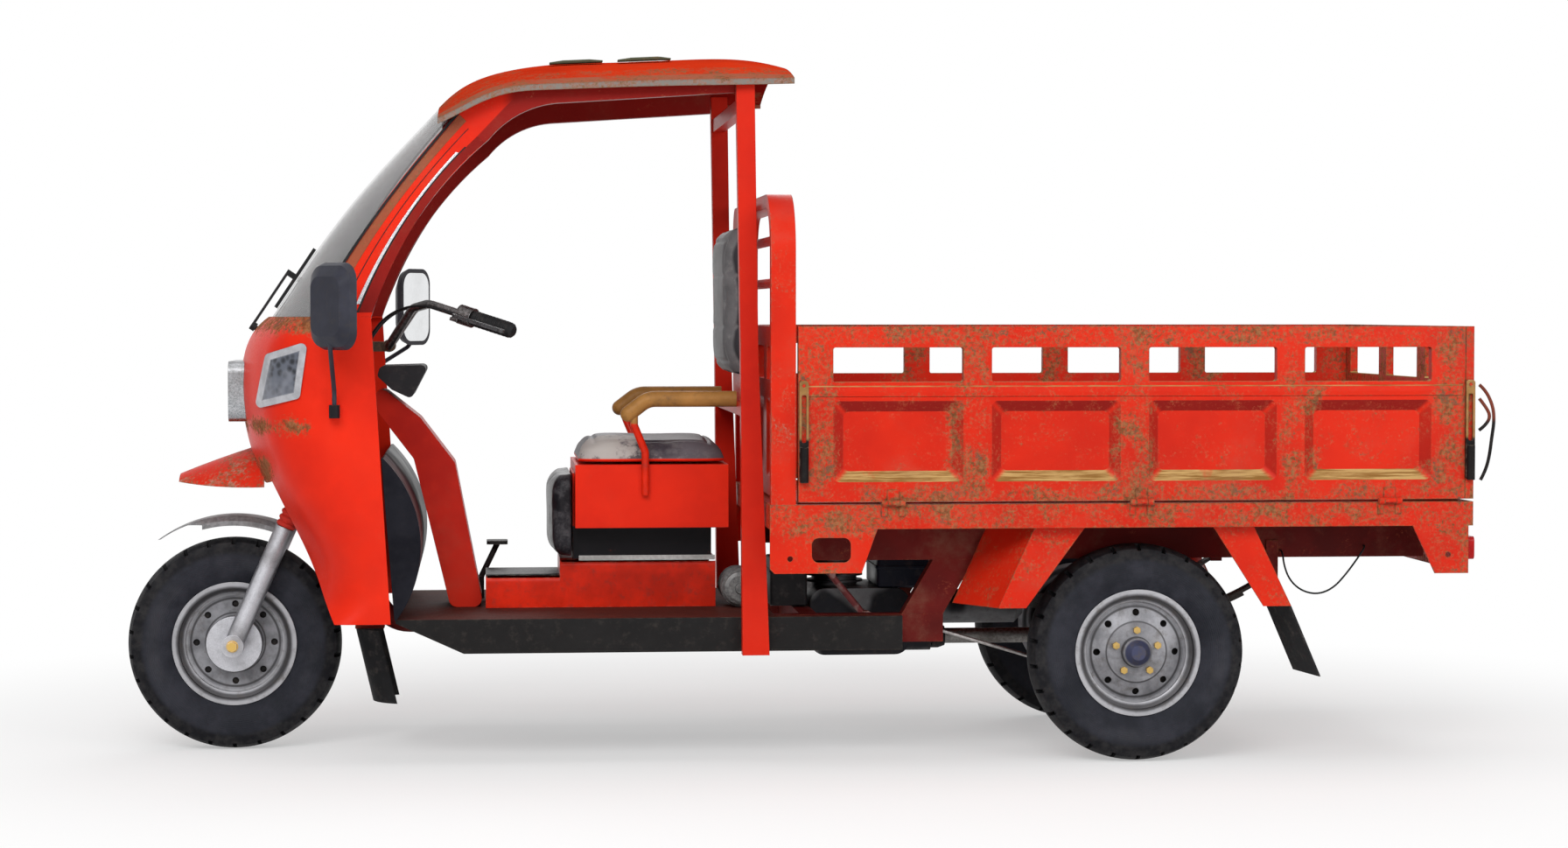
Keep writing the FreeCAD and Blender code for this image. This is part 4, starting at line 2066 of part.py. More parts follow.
nodes = {
    "chassis_frame": chassis_frame(),
    "footboard": footboard(),
    "center_tunnel": center_tunnel(),
    "column_cover": column_cover(),
    "instrument_panel": instrument_panel(),
    "leg_shield": leg_shield(),
    "front_fairing": front_fairing(),
    "front_beak": front_beak(),
    "headlamp_housings": headlamp_housings(),
    "headlamp_lenses": headlamp_lenses(),
    "grille": grille(),
    "windscreen": windscreen(),
    "cab_pillars": Part.makeCompound(both_sides(left_pillar)),
    "rear_hoop": rear_hoop(),
    "roof_shell": roof_shell(),
    "seat_box": seat_box(),
    "seat_cushion": seat_cushion(),
    "backrest_shell": backrest_shell(),
    "backrest_cushion": backrest_cushion(),
    "armrests": Part.makeCompound(left_armrest + [mirrored(piece) for piece in left_armrest]),
    "shin_pad": shin_pad(),
    "engine": engine(),
    "leaf_springs": leaf_springs(),
    "bed_floor": bed_floor(),
    "headboard": headboard(),
    "rear_mudguards": rear_mudguards(),
    "mud_flaps": mud_flaps(),
    "tail_lamps": tail_lamps(),
    "rear_wire": rear_wire(),
    "rear_axle": rear_axle(),
    "rear_rim_left": left_rim,
    "rear_rim_right": mirrored(left_rim),
    "rear_tyre_left": left_tyre,
    "rear_tyre_right": mirrored(left_tyre),
    "propshaft": propshaft(),
    "propshaft_boot": propshaft_boot(),
    "steering_stem": steering_stem(),
    "fork_boots": mirrored_pair(fork_boot),
    "front_mudguard": front_mudguard(),
    "handlebar": handlebar(),
    "left_grip": hand_grip(0),
    "throttle_grip": mirrored(hand_grip(running_fit)),
    "clutch_lever": lever,
    "brake_lever": mirrored(lever),
    "horn_button": hand_button(),
    "fork_sliders": fork_sliders(),
    "front_rim": front_rim(front_hub),
    "front_tyre": tyre(front_hub),
    "mirror_left": mirror(1, mirror_left_x, mirror_left_turn),
    "mirror_right": mirror(-1, mirror_right_x, mirror_right_turn),
    "wiper": wiper(),
    "gate_left": left_gate,
    "gate_right": mirrored(left_gate),
    "tailgate": tailgate(),
    "latch_front_left": front_latch,
    "latch_front_right": mirrored(front_latch),
    "latch_rear_left": rear_latch,
    "latch_rear_right": mirrored(rear_latch),
    "brake_pedal": brake_pedal(),
    "kick_lever": kick_lever(),
}

os.makedirs("parts", exist_ok=True)
for name, shape in nodes.items():
    shape.translate(vec(centre_shift, 0, 0))
    shape.exportStep("parts/" + name + ".step")
print(len(nodes), "nodes")
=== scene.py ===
import math

import bmesh
import bpy
from mathutils import Euler, Matrix, Vector


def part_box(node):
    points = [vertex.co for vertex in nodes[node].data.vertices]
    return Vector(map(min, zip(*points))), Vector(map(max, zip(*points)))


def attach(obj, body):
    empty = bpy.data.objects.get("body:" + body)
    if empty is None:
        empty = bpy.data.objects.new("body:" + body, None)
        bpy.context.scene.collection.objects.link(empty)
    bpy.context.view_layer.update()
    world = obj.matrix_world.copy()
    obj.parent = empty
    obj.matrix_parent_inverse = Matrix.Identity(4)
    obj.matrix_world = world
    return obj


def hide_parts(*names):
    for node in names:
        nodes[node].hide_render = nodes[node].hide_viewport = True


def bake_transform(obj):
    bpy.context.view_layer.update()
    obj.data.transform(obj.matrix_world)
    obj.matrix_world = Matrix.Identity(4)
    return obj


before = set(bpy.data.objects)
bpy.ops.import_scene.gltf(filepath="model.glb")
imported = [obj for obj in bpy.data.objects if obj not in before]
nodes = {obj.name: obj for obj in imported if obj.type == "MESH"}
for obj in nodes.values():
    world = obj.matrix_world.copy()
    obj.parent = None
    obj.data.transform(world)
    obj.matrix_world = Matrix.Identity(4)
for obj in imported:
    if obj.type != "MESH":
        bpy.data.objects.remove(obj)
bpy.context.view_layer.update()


def middle_of(node):
    """Middle of a solid's box."""
    low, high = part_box(node)
    return tuple((a + b) / 2.0 for a, b in zip(low, high))


front_centre = middle_of("front_tyre")
rear_centre = middle_of("rear_tyre_left")

# Colours, linear
red = (0.760, 0.024, 0.006)
deep_red = (0.63, 0.018, 0.006)
bed_red = (0.635, 0.022, 0.006)
bed_dark = (0.50, 0.016, 0.006)
maroon = (0.075, 0.007, 0.006)
olive = (0.105, 0.060, 0.022)
tan = (0.25, 0.145, 0.06)
grey_green = (0.075, 0.082, 0.050)
pink_grey = (0.50, 0.24, 0.19)
black = (0.012, 0.011, 0.013)
# Painted shade: red paint as it looks in shade, for faces that get little light
shaded_red = (0.26, 0.010, 0.007)


# Materials

class Graph:
    """Node tree of a material or a world, with short helpers."""

    def __init__(self, owner):
        owner.use_nodes = True
        self.tree = owner.node_tree

    def add(self, kind, inputs=None, **settings):
        """New node with its settings, and its inputs by name or number."""
        node = self.tree.nodes.new("ShaderNode" + kind)
        for name, value in settings.items():
            setattr(node, name, value)
        for socket, value in (inputs or {}).items():
            self.feed(node.inputs[socket], value)
        return node

    def feed(self, socket, value):
        if hasattr(value, "is_linked"):
            self.tree.links.new(value, socket)
        elif isinstance(value, tuple) and socket.type == "RGBA":
            socket.default_value = (*value, 1.0)
        else:
            socket.default_value = value

    def maths(self, kind, first, second=0.0):
        return self.add("Math", {0: first, 1: second}, operation=kind).outputs[0]


class Finish(Graph):
    """One procedural material."""

    def __init__(self, name):
        self.material = bpy.data.materials.new(name)
        super().__init__(self.material)
        self.shader = self.tree.nodes["Principled BSDF"]
        self.source = self.add("TexCoord")
        self.place = self.source.outputs["Object"]
        self.split = {}

    def set(self, **sockets):
        for name, value in sockets.items():
            self.feed(self.shader.inputs[name.replace("_", " ")], value)

    def times(self, first, second):
        return self.maths("MULTIPLY", first, second)

    def plus(self, first, second):
        return self.maths("ADD", first, second)

    def vector(self, kind, first, second=(0.0, 0.0, 0.0), result="Vector"):
        return self.add("VectorMath", {0: first, 1: second}, operation=kind).outputs[result]

    def step(self, value, low, high, start=0.0, end=1.0):
        limits = {"Value": value, "From Min": low, "From Max": high, "To Min": start, "To Max": end}
        return self.add("MapRange", limits, interpolation_type="SMOOTHSTEP").outputs["Result"]

    def noise(self, scale, detail=4.0, roughness=0.6, place=None, bend=0.0):
        inputs = {"Vector": place or self.place, "Scale": scale, "Detail": detail, "Roughness": roughness,
                  "Distortion": bend}
        return self.add("TexNoise", inputs).outputs["Fac"]

    def cells(self, scale):
        return self.add("TexVoronoi", {"Vector": self.place, "Scale": scale}).outputs["Distance"]

    def mix(self, share, first, second):
        return self.add("Mix", {0: share, 6: first, 7: second}, data_type="RGBA").outputs[2]

    def blend(self, share, first, second):
        return self.add("Mix", {0: share, 2: first, 3: second}, data_type="FLOAT").outputs[0]

    def part(self, output, name):
        """One axis of the place or of the facing."""
        if output not in self.split:
            source = {0: self.source.outputs[output]}
            self.split[output] = self.add("SeparateXYZ", source).outputs
        return self.split[output]["XYZ".index(name)]

    def axis(self, name):
        return self.part("Object", name)

    def outward(self):
        """Distance from the middle plane."""
        return self.maths("ABSOLUTE", self.axis("Y"))

    def faces(self, name, low, high):
        """1 where the surface faces along an axis."""
        value = self.part("Normal", name[-1])
        if name[0] == "-":
            value = self.times(value, -1.0)
        return self.step(value, low, high)

    def between(self, value, low, high, soft):
        """1 where a value lies between two limits."""
        rise = self.step(value, low - soft, low + soft)
        return self.times(rise, self.step(value, high - soft, high + soft, 1.0, 0.0))

    def inside(self, soft, **limits):
        """1 inside a box given as x=(low, high), y=..., z=..."""
        mask = None
        for name, (low, high) in limits.items():
            band = self.between(self.axis(name.upper()), low, high, soft)
            mask = band if mask is None else self.times(mask, band)
        return mask

    def most(self, masks):
        mask = masks[0]
        for other in masks[1:]:
            mask = self.maths("MAXIMUM", mask, other)
        return mask

    def radius(self, centre):
        """Distance from a wheel's axle."""
        shift = self.vector("SUBTRACT", self.place, (centre[0], 0.0, centre[2]))
        flat = self.vector("MULTIPLY", shift, (1.0, 0.0, 1.0))
        return self.vector("LENGTH", flat, result="Value")

    def rings(self, centre, *bands):
        """1 on rings about a wheel's axle, each given as two distances and a softness."""
        away = self.radius(centre)
        return self.most([self.between(away, *band) for band in bands])

    def rounded(self, radius):
        """Facing of the surface with its edges rounded off."""
        return self.add("Bevel", {"Radius": radius}, samples=4).outputs["Normal"]

    def edges(self, radius=0.006):
        """1 on sharp edges."""
        plain = self.add("NewGeometry").outputs["Normal"]
        return self.step(self.vector("DOT_PRODUCT", self.rounded(radius), plain, "Value"), 0.97, 0.80)

    def bump(self, height, strength, distance, soften=0.0):
        node = self.add("Bump", {"Strength": strength, "Distance": distance, "Height": height})
        if soften:
            self.feed(node.inputs["Normal"], self.rounded(soften))
        return node.outputs["Normal"]


def scaled(colour, factor, extra=0.0):
    return tuple(min(1.0, factor * part + extra) for part in colour)


def painted(name, colour=red, dark=deep_red, wear=0.4, spots=(), ledges=(), gloss=0.32, dust=0.12,
            primer=(olive, tan, grey_green), tint=None, spot_gain=0.13, spot_soft=0.02, shine=0.09):
    """Sprayed sheet steel, chipped to primer and rust where it is knocked and on its edges."""
    fin = Finish(name)
    broad = fin.noise(2.6, 3.0)
    patch = fin.noise(12.0, 5.0, 0.65, bend=0.6)
    fleck = fin.noise(120.0, 9.0, 0.78)
    grit = fin.noise(210.0, 4.0, 0.7)
    tone = fin.mix(fin.step(broad, 0.32, 0.68), dark, colour)
    tone = fin.mix(fin.step(fin.noise(22.0, 5.0), 0.45, 0.75, 0.0, 0.22), tone, scaled(colour, 1.12))
    if tint:
        tone = tint(fin, tone)
    total = fin.plus(fleck, fin.times(patch, 0.65))
    total = fin.plus(total, fin.times(fin.edges(), 0.16))
    if spots:
        zone = fin.most([fin.inside(soft=spot_soft, **spot) for spot in spots])
        total = fin.plus(total, fin.times(zone, spot_gain))
    limit = 1.10 - 0.22 * wear
    chips = fin.step(total, limit, limit + 0.10)
    scuff = fin.step(total, limit - 0.10, limit + 0.05, 0.0, 0.45)
    shade = fin.step(fin.noise(75.0, 6.0, 0.7), 0.38, 0.62)
    chip = fin.mix(shade, primer[0], primer[1])
    chip = fin.mix(fin.step(fin.noise(34.0, 4.0), 0.52, 0.68), chip, primer[2])
    tone = fin.mix(scuff, tone, fin.mix(shade, (0.30, 0.055, 0.022), (0.50, 0.12, 0.055)))
    tone = fin.mix(fin.times(chips, 0.82), tone, chip)
    if ledges:
        shelf = fin.most([fin.inside(soft=0.004, **ledge) for ledge in ledges])
        shelf = fin.times(fin.faces("Z", 0.25, 0.6), shelf)
        shelf = fin.times(shelf, fin.step(fin.noise(7.0, 4.0, 0.7), 0.30, 0.46))
        streaks = fin.noise(150.0, 5.0, place=fin.vector("MULTIPLY", fin.place, (0.06, 1.0, 1.0)))
        rust = fin.mix(fin.step(streaks, 0.38, 0.62), (0.22, 0.12, 0.03), (0.50, 0.34, 0.13))
        tone = fin.mix(shelf, tone, rust)
        chips = fin.maths("MAXIMUM", chips, shelf)
    dirt = fin.times(fin.step(fin.noise(5.0, 6.0, 0.7), 0.5, 0.75), dust)
    tone = fin.mix(dirt, tone, (0.22, 0.12, 0.075))
    rough = fin.blend(fin.step(grit, 0.3, 0.7), gloss, gloss + 0.14)
    rough = fin.blend(chips, rough, 0.85)
    height = fin.maths("SUBTRACT", fin.times(grit, 0.10), chips)
    fin.set(Base_Color=tone, Roughness=rough, Specular_IOR_Level=shine,
            Normal=fin.bump(height, 0.25, 0.0008, soften=0.0025))
    return fin.material


def plain_metal(name, colour, dark, roughness=0.35, grain=120.0, dirt=0.3, grime=(0.05, 0.04, 0.03),
                metallic=1.0, edge=0.5, tint=None):
    """Bare, plated or silver-painted metal with fine streaks and grime."""
    fin = Finish(name)
    streak = fin.noise(grain, 5.0, 0.65)
    broad = fin.noise(9.0, 5.0, 0.6)
    tone = fin.mix(fin.step(streak, 0.3, 0.7), dark, colour)
    soil = fin.step(broad, 0.42, 0.72, 0.0, dirt)
    tone = fin.mix(soil, tone, grime)
    if tint:
        tone = tint(fin, tone)
    tone = fin.mix(fin.times(fin.edges(0.003), edge), tone, scaled(colour, 1.25))
    rough = fin.blend(fin.step(streak, 0.3, 0.7), roughness, roughness + 0.15)
    rough = fin.blend(soil, rough, 0.8)
    fin.set(Base_Color=tone, Metallic=metallic, Roughness=rough,
            Normal=fin.bump(streak, 0.15, 0.0004, soften=0.0015))
    return fin.material


def moulded(name, colour, roughness=0.5, grain=700.0, depth=0.0002, dust=0.2,
            dust_colour=(0.12, 0.10, 0.09), worn=None, shine=0.14):
    """Grained plastic or rubber with dust and rubbed edges."""
    fin = Finish(name)
    skin = fin.noise(grain, 3.0, 0.6)
    broad = fin.noise(7.0, 5.0, 0.65)
    tone = fin.mix(fin.step(broad, 0.35, 0.7), colour, scaled(colour, 1.5, 0.004))
    tone = fin.mix(fin.step(fin.noise(26.0, 6.0, 0.7), 0.48, 0.75, 0.0, dust), tone, dust_colour)
    if worn:
        tone = fin.mix(fin.times(fin.edges(0.004), 0.6), tone, worn)
    rough = fin.blend(fin.step(broad, 0.3, 0.7), roughness - 0.08, roughness + 0.12)
    fin.set(Base_Color=tone, Roughness=rough, Specular_IOR_Level=shine,
            Normal=fin.bump(skin, 0.35, depth, soften=0.0015))
    return fin.material


def tyre_rubber(name, centre):
    """Tyre with beads on its walls, dust near the rim and a darker tread."""
    fin = Finish(name)
    away = fin.radius(centre)
    broad = fin.noise(11.0, 6.0, 0.65)
    wall = fin.mix(fin.step(broad, 0.35, 0.7), (0.012, 0.013, 0.018), (0.030, 0.031, 0.040))
    tread = fin.mix(fin.step(fin.noise(40.0, 5.0), 0.35, 0.7), (0.007, 0.007, 0.009), (0.024, 0.023, 0.024))
    tone = fin.mix(fin.step(away, 0.236, 0.252), wall, tread)
    dusty = fin.times(fin.rings(centre, (0.2, 0.235, 0.012)), fin.step(fin.noise(5.0, 5.0), 0.4, 0.7))
    tone = fin.mix(fin.times(dusty, 0.35), tone, (0.060, 0.060, 0.068))
    beads = fin.maths("SINE", fin.times(away, 1250.0))
    beads = fin.times(beads, fin.rings(centre, (0.186, 0.232, 0.003)))
    fine = fin.plus(fin.times(beads, 0.5), fin.noise(320.0, 3.0))
    fin.set(Base_Color=tone, Roughness=fin.blend(fin.step(broad, 0.3, 0.7), 0.52, 0.78),
            Specular_IOR_Level=0.12, Normal=fin.bump(fine, 0.35, 0.0009))
    return fin.material


def rim_steel(name, centre, middle=None):
    """Grey wheel steel: turned rings, lighter bands, brake dust, a darker hub, and painted shade in dark
    rings at the grooves.
    """
    fin = Finish(name)
    away = fin.radius(centre)
    turned = fin.maths("SINE", fin.times(away, 900.0))
    broad = fin.noise(13.0, 6.0, 0.65)
    tone = fin.mix(fin.step(broad, 0.3, 0.7), (0.13, 0.13, 0.14), (0.30, 0.30, 0.32))
    bright = fin.rings(centre, (0.156, 0.19, 0.003), (0.127, 0.136, 0.002))
    tone = fin.mix(fin.times(bright, 0.6), tone, (0.46, 0.46, 0.48))
    # Painted shade: dark rings in the grooves.
    groove = fin.rings(centre, (0.139, 0.153, 0.003), (0.116, 0.122, 0.002), (0.078, 0.082, 0.0015),
                       (0.038, 0.041, 0.001))
    tone = fin.mix(fin.times(groove, 0.85), tone, (0.030, 0.028, 0.030))
    hub = fin.step(away, 0.036, 0.031)
    tone = fin.mix(hub, tone, middle or (0.045, 0.050, 0.10))
    proud = fin.step(fin.outward(), 0.4803, 0.4808)
    nuts = fin.times(fin.rings(centre, (0.045, 0.071, 0.001)), proud)
    tone = fin.mix(fin.times(nuts, 0.85), tone, (0.52, 0.33, 0.07))
    soil = fin.step(fin.noise(30.0, 6.0, 0.7), 0.5, 0.72, 0.0, 0.55)
    tone = fin.mix(soil, tone, (0.075, 0.062, 0.05))
    height = fin.plus(fin.times(turned, 0.12), fin.noise(180.0, 4.0))
    fin.set(Base_Color=tone, Metallic=0.55, Roughness=fin.blend(broad, 0.38, 0.62),
            Normal=fin.bump(height, 0.2, 0.0006, soften=0.002))
    return fin.material


def vinyl(name, colour, pale, worn, worn_boxes=(), roughness=0.42, piping=None, trim=red):
    """Coated upholstery cloth: creased grain, rubbed pale where it is sat on."""
    fin = Finish(name)
    grain = fin.cells(420.0)
    creases = fin.noise(34.0, 6.0, 0.7, bend=1.4)
    broad = fin.noise(8.0, 5.0, 0.65)
    tone = fin.mix(fin.step(broad, 0.35, 0.68), colour, pale)
    rub = fin.step(fin.noise(17.0, 6.0, 0.7), 0.50, 0.66, 0.0, 0.75)
    if worn_boxes:
        zone = fin.most([fin.inside(soft=0.035, **box) for box in worn_boxes])
        patch = fin.step(fin.plus(fin.noise(20.0, 6.0, 0.7), fin.times(zone, 0.35)), 0.62, 0.80)
        rub = fin.maths("MAXIMUM", fin.times(rub, 0.18), patch)
    tone = fin.mix(rub, tone, worn)
    if piping:
        tone = fin.mix(piping(fin), tone, trim)
    height = fin.plus(fin.times(grain, 0.35), fin.times(creases, 1.2))
    fin.set(Base_Color=tone, Roughness=fin.blend(rub, roughness, roughness + 0.2),
            Specular_IOR_Level=0.12, Normal=fin.bump(height, 0.4, 0.0014))
    return fin.material


def clear_glass(name, tint, clear, shade):
    """Sheet glazing: smoked, slightly hazed, with a darker band at its top."""
    fin = Finish(name)
    haze = fin.noise(14.0, 6.0, 0.65)
    tone = fin.mix(fin.step(haze, 0.35, 0.7), tint, scaled(tint, 1.6))
    tone = fin.mix(fin.inside(soft=0.03, **shade), tone, (0.02, 0.02, 0.022))
    fin.set(Base_Color=tone, Roughness=fin.blend(fin.step(haze, 0.4, 0.7), 0.06, 0.12),
            Alpha=1.0 - clear, Specular_IOR_Level=0.3)
    return fin.material


# Finishes of the solids

def dress(material, *names):
    for name in names:
        piece = nodes[name]
        if not piece.material_slots:
            piece.data.materials.append(material)
        for slot in piece.material_slots:
            slot.material = material


def two_tone(name, zone, first, second, roughness, metallic=0.0, chips=0.0, grain=160.0):
    """Two finishes on one solid, parted by a zone; each has its own variation, grime and gloss."""
    fin = Finish(name)
    mask = zone(fin)
    broad = fin.step(fin.noise(12.0, 6.0, 0.65), 0.35, 0.7)
    fine = fin.noise(grain, 5.0, 0.65)
    main = fin.mix(broad, scaled(first, 0.72), first)
    other = fin.mix(broad, scaled(second, 0.72), second)
    tone = fin.mix(mask, main, other)
    soil = fin.step(fin.noise(36.0, 7.0, 0.7), 0.50, 0.74, 0.0, 0.4)
    tone = fin.mix(soil, tone, (0.05, 0.042, 0.036))
    if chips:
        bare = fin.times(fin.edges(0.004), fin.step(fin.noise(48.0, 5.0), 0.42, 0.6))
        tone = fin.mix(fin.times(bare, chips), tone, (0.42, 0.33, 0.24))
    rough = fin.blend(mask, roughness[0], roughness[1])
    rough = fin.plus(rough, fin.step(fine, 0.3, 0.7, -0.06, 0.10))
    fin.set(Base_Color=tone, Roughness=rough, Metallic=metallic, Specular_IOR_Level=0.13,
            Normal=fin.bump(fine, 0.25, 0.0005, soften=0.002))
    return fin.material


post_places = (-0.03, -0.419, -0.855, -1.291, -1.70)
bed_spots = [dict(z=(1.085, 1.15)), dict(z=(0.60, 0.735))]
bed_spots += [dict(x=(place - 0.055, place + 0.055)) for place in post_places]
ledge_zone = [dict(z=(0.722, 0.800)), dict(z=(0.985, 1.005))]


def mirror_feet(fin, colour):
    """The feet of the mirrors' stalks are black."""
    feet = [fin.inside(x=(1.165, 1.225), y=(side - 0.05, side + 0.05), z=(0.86, 0.945), soft=0.001)
            for side in (0.5435, -0.5435)]
    return fin.mix(fin.most(feet), colour, black)


fairing_spots = [dict(x=(1.22, 1.60), z=(1.115, 1.30)), dict(x=(1.25, 1.60), z=(0.855, 0.905)),
                 dict(x=(1.36, 1.60), z=(0.70, 0.80))]
dress(painted("fairing_paint", wear=0.10, dust=0.03, gloss=0.30, tint=mirror_feet, spot_gain=0.36,
              spot_soft=0.03, spots=fairing_spots), "front_fairing")
dress(painted("beak_paint", wear=1.15, primer=(tan, pink_grey, olive), dust=0.2), "front_beak")


def rail_shade(fin, colour):
    """Painted shade: the rail under the roof, the bend into it and the inner faces of the pillars are
    coloured shaded red.
    """
    inner = fin.step(fin.outward(), 0.4695, 0.4690)
    slant = fin.plus(fin.times(fin.axis("X"), 0.727), fin.times(fin.axis("Z"), 0.687))
    bend = fin.times(fin.step(slant, 1.722, 1.718), fin.step(fin.axis("Z"), 1.600, 1.604))
    return fin.mix(fin.most([inner, bend, fin.step(fin.axis("X"), 0.77, 0.73)]), colour, shaded_red)


def roof_bands(fin, colour):
    """Grey edge strip, faded band above it, and painted shade on the ceiling, the faces that look down."""
    out = fin.outward()
    faded = fin.times(fin.step(out, 0.455, 0.475), fin.step(fin.noise(14.0, 5.0), 0.30, 0.5, 0.3, 0.9))
    colour = fin.mix(faded, colour, (0.30, 0.11, 0.065))
    colour = fin.mix(fin.step(out, 0.5170, 0.5175), colour, (0.20, 0.185, 0.165))
    # Painted shade on the faces that look down.
    return fin.mix(fin.faces("-Z", 0.05, 0.3), colour, shaded_red)


def box_underside(fin, colour):
    """The lower part of the seat box is black."""
    return fin.mix(fin.step(fin.axis("Z"), 0.606, 0.601), colour, black)


dress(painted("pillar_paint", wear=0.32, primer=(tan, pink_grey, olive), tint=rail_shade),
      "cab_pillars")
dress(painted("roof_paint", (0.60, 0.034, 0.008), (0.48, 0.026, 0.007), wear=0.50, gloss=0.75,
              primer=(tan, grey_green, olive), dust=0.2, tint=roof_bands, shine=0.0,
              spots=[dict(y=(0.38, 0.53)), dict(y=(-0.53, -0.38)), dict(x=(0.72, 1.0))]), "roof_shell")
dress(painted("cab_paint", (0.60, 0.019, 0.006), (0.50, 0.014, 0.006), wear=0.16, dust=0.06),
      "rear_hoop", "backrest_shell")
dress(painted("seat_box_paint", wear=0.14, dust=0.04, tint=box_underside), "seat_box")
dress(painted("column_paint", (0.62, 0.024, 0.010), (0.40, 0.012, 0.007), wear=0.12, dust=0.14),
      "column_cover")


def pressing_shade(fin, colour):
    """Painted shade: the slopes of the pressings that face down or sideways are coloured darker."""
    across = fin.maths("MAXIMUM", fin.faces("X", 0.3, 0.55), fin.faces("-X", 0.3, 0.55))
    down = fin.faces("-Z", 0.25, 0.5)
    dark = fin.maths("MAXIMUM", fin.times(down, 0.8), fin.times(across, 0.45))
    return fin.mix(dark, colour, (0.16, 0.007, 0.006))


def tunnel_mat(fin):
    """1 on the top of the tunnel, ahead of the seat."""
    return fin.times(fin.faces("Z", 0.5, 0.8), fin.step(fin.axis("X"), 0.60, 0.62))


def below(low, high):
    """Zone that fades out between two heights."""
    return lambda fin: fin.step(fin.axis("Z"), low, high, 1.0, 0.0)


gate_paint = painted("gate_paint", bed_red, bed_dark, wear=0.68, spots=bed_spots, ledges=ledge_zone,
                     dust=0.18, tint=pressing_shade)
dress(gate_paint, "gate_left", "gate_right", "tailgate")
dress(painted("bed_paint", bed_red, bed_dark, wear=0.66, spots=bed_spots, dust=0.22), "bed_floor")
dress(painted("headboard_paint", bed_red, bed_dark, wear=0.66, dust=0.2,
              primer=(pink_grey, olive, grey_green)), "headboard")
dress(painted("mudguard_paint", bed_red, bed_dark, wear=0.76, dust=0.22), "rear_mudguards")
dress(painted("frame_paint", (0.17, 0.012, 0.010), maroon, wear=0.30, dust=0.4, gloss=0.5),
      "chassis_frame")
dress(two_tone("tunnel_paint", tunnel_mat, red, black, (0.32, 0.45), chips=0.4), "center_tunnel")
dress(two_tone("floor_finish", lambda fin: fin.faces("Z", 0.5, 0.8), (0.011, 0.010, 0.010),
               (0.085, 0.018, 0.012), (0.5, 0.75), grain=260.0, chips=0.12), "footboard")
dress(moulded("shield_black", (0.004, 0.004, 0.007), 0.42, 300.0, 0.0001, dust=0.04, shine=0.08),
      "leg_shield")
dress(moulded("dash_black", (0.014, 0.013, 0.015), 0.5, 600.0, 0.0003, dust=0.2), "instrument_panel")
dress(moulded("grip_black", (0.010, 0.010, 0.011), 0.6, 380.0, 0.0005, dust=0.2), "left_grip",
      "throttle_grip")
dress(moulded("flap_rubber", (0.012, 0.012, 0.013), 0.7, 240.0, 0.0006, dust=0.45), "mud_flaps")
dress(moulded("boot_rubber", (0.40, 0.020, 0.012), 0.5, 400.0, 0.0003, dust=0.3), "fork_boots")
dress(moulded("shaft_rubber", (0.014, 0.013, 0.013), 0.6, 400.0, 0.0004, dust=0.4), "propshaft_boot")
dress(moulded("wiper_black", (0.010, 0.010, 0.011), 0.45, 500.0, dust=0.15, worn=(0.10, 0.10, 0.10)),
      "wiper")
dress(moulded("pedal_black", (0.012, 0.011, 0.011), 0.5, 300.0, 0.0005, dust=0.3, worn=(0.2, 0.18, 0.16)),
      "brake_pedal")
dress(moulded("button_orange", (0.65, 0.10, 0.01), 0.4, 500.0, dust=0.1), "horn_button")
dress(moulded("lamp_red", (0.42, 0.008, 0.008), 0.16, 260.0, 0.0003, dust=0.1), "tail_lamps")
dress(tyre_rubber("front_rubber", front_centre), "front_tyre")
dress(tyre_rubber("rear_rubber", rear_centre), "rear_tyre_left", "rear_tyre_right")
dress(rim_steel("front_wheel_steel", front_centre, (0.45, 0.36, 0.16)), "front_rim")
dress(rim_steel("rear_wheel_steel", rear_centre), "rear_rim_left", "rear_rim_right")


def brass_nut(fin, colour):
    """The nuts on the ends of the front axle are brass."""
    away = fin.step(fin.radius(front_centre), 0.0165, 0.0155)
    out = fin.step(fin.outward(), 0.1215, 0.1225)
    return fin.mix(fin.times(away, out), colour, (0.60, 0.40, 0.12))


dress(plain_metal("slider_aluminium", (0.56, 0.56, 0.59), (0.44, 0.44, 0.47), 0.34, 300.0, dirt=0.45,
                  tint=brass_nut), "fork_sliders")
dress(plain_metal("mudguard_silver", (0.27, 0.265, 0.27), (0.15, 0.15, 0.155), 0.42, 90.0, dirt=0.45,
                  metallic=0.4, edge=0.2), "front_mudguard")
dress(plain_metal("yoke_bronze", (0.20, 0.12, 0.07), (0.06, 0.045, 0.04), 0.45, 70.0, dirt=0.4,
                  metallic=0.7), "steering_stem")
dress(plain_metal("bar_steel", (0.26, 0.25, 0.25), (0.10, 0.095, 0.095), 0.30, 140.0, dirt=0.3),
      "handlebar")
dress(plain_metal("lever_alloy", (0.10, 0.10, 0.105), (0.04, 0.04, 0.042), 0.36, 200.0, dirt=0.2,
                  metallic=0.8), "clutch_lever", "brake_lever")
dress(plain_metal("bright_trim", (0.46, 0.47, 0.49), (0.24, 0.25, 0.26), 0.22, 220.0, dirt=0.4, edge=0.3),
      "grille")
dress(plain_metal("axle_iron", (0.075, 0.07, 0.068), (0.03, 0.028, 0.027), 0.55, 60.0, dirt=0.6,
                  metallic=0.5), "rear_axle", "leaf_springs")
dress(plain_metal("shaft_steel", (0.30, 0.29, 0.28), (0.14, 0.13, 0.12), 0.42, 120.0, dirt=0.5),
      "propshaft")
dress(two_tone("engine_metal", lambda fin: fin.step(fin.noise(4.0, 2.0), 0.47, 0.53), (0.022, 0.022, 0.026),
               (0.20, 0.20, 0.205), (0.45, 0.5), 0.6), "engine")
dress(two_tone("armrest_tan", below(0.878, 0.884), (0.40, 0.19, 0.05), red, (0.42, 0.34), chips=0.3,
               grain=90.0), "armrests")
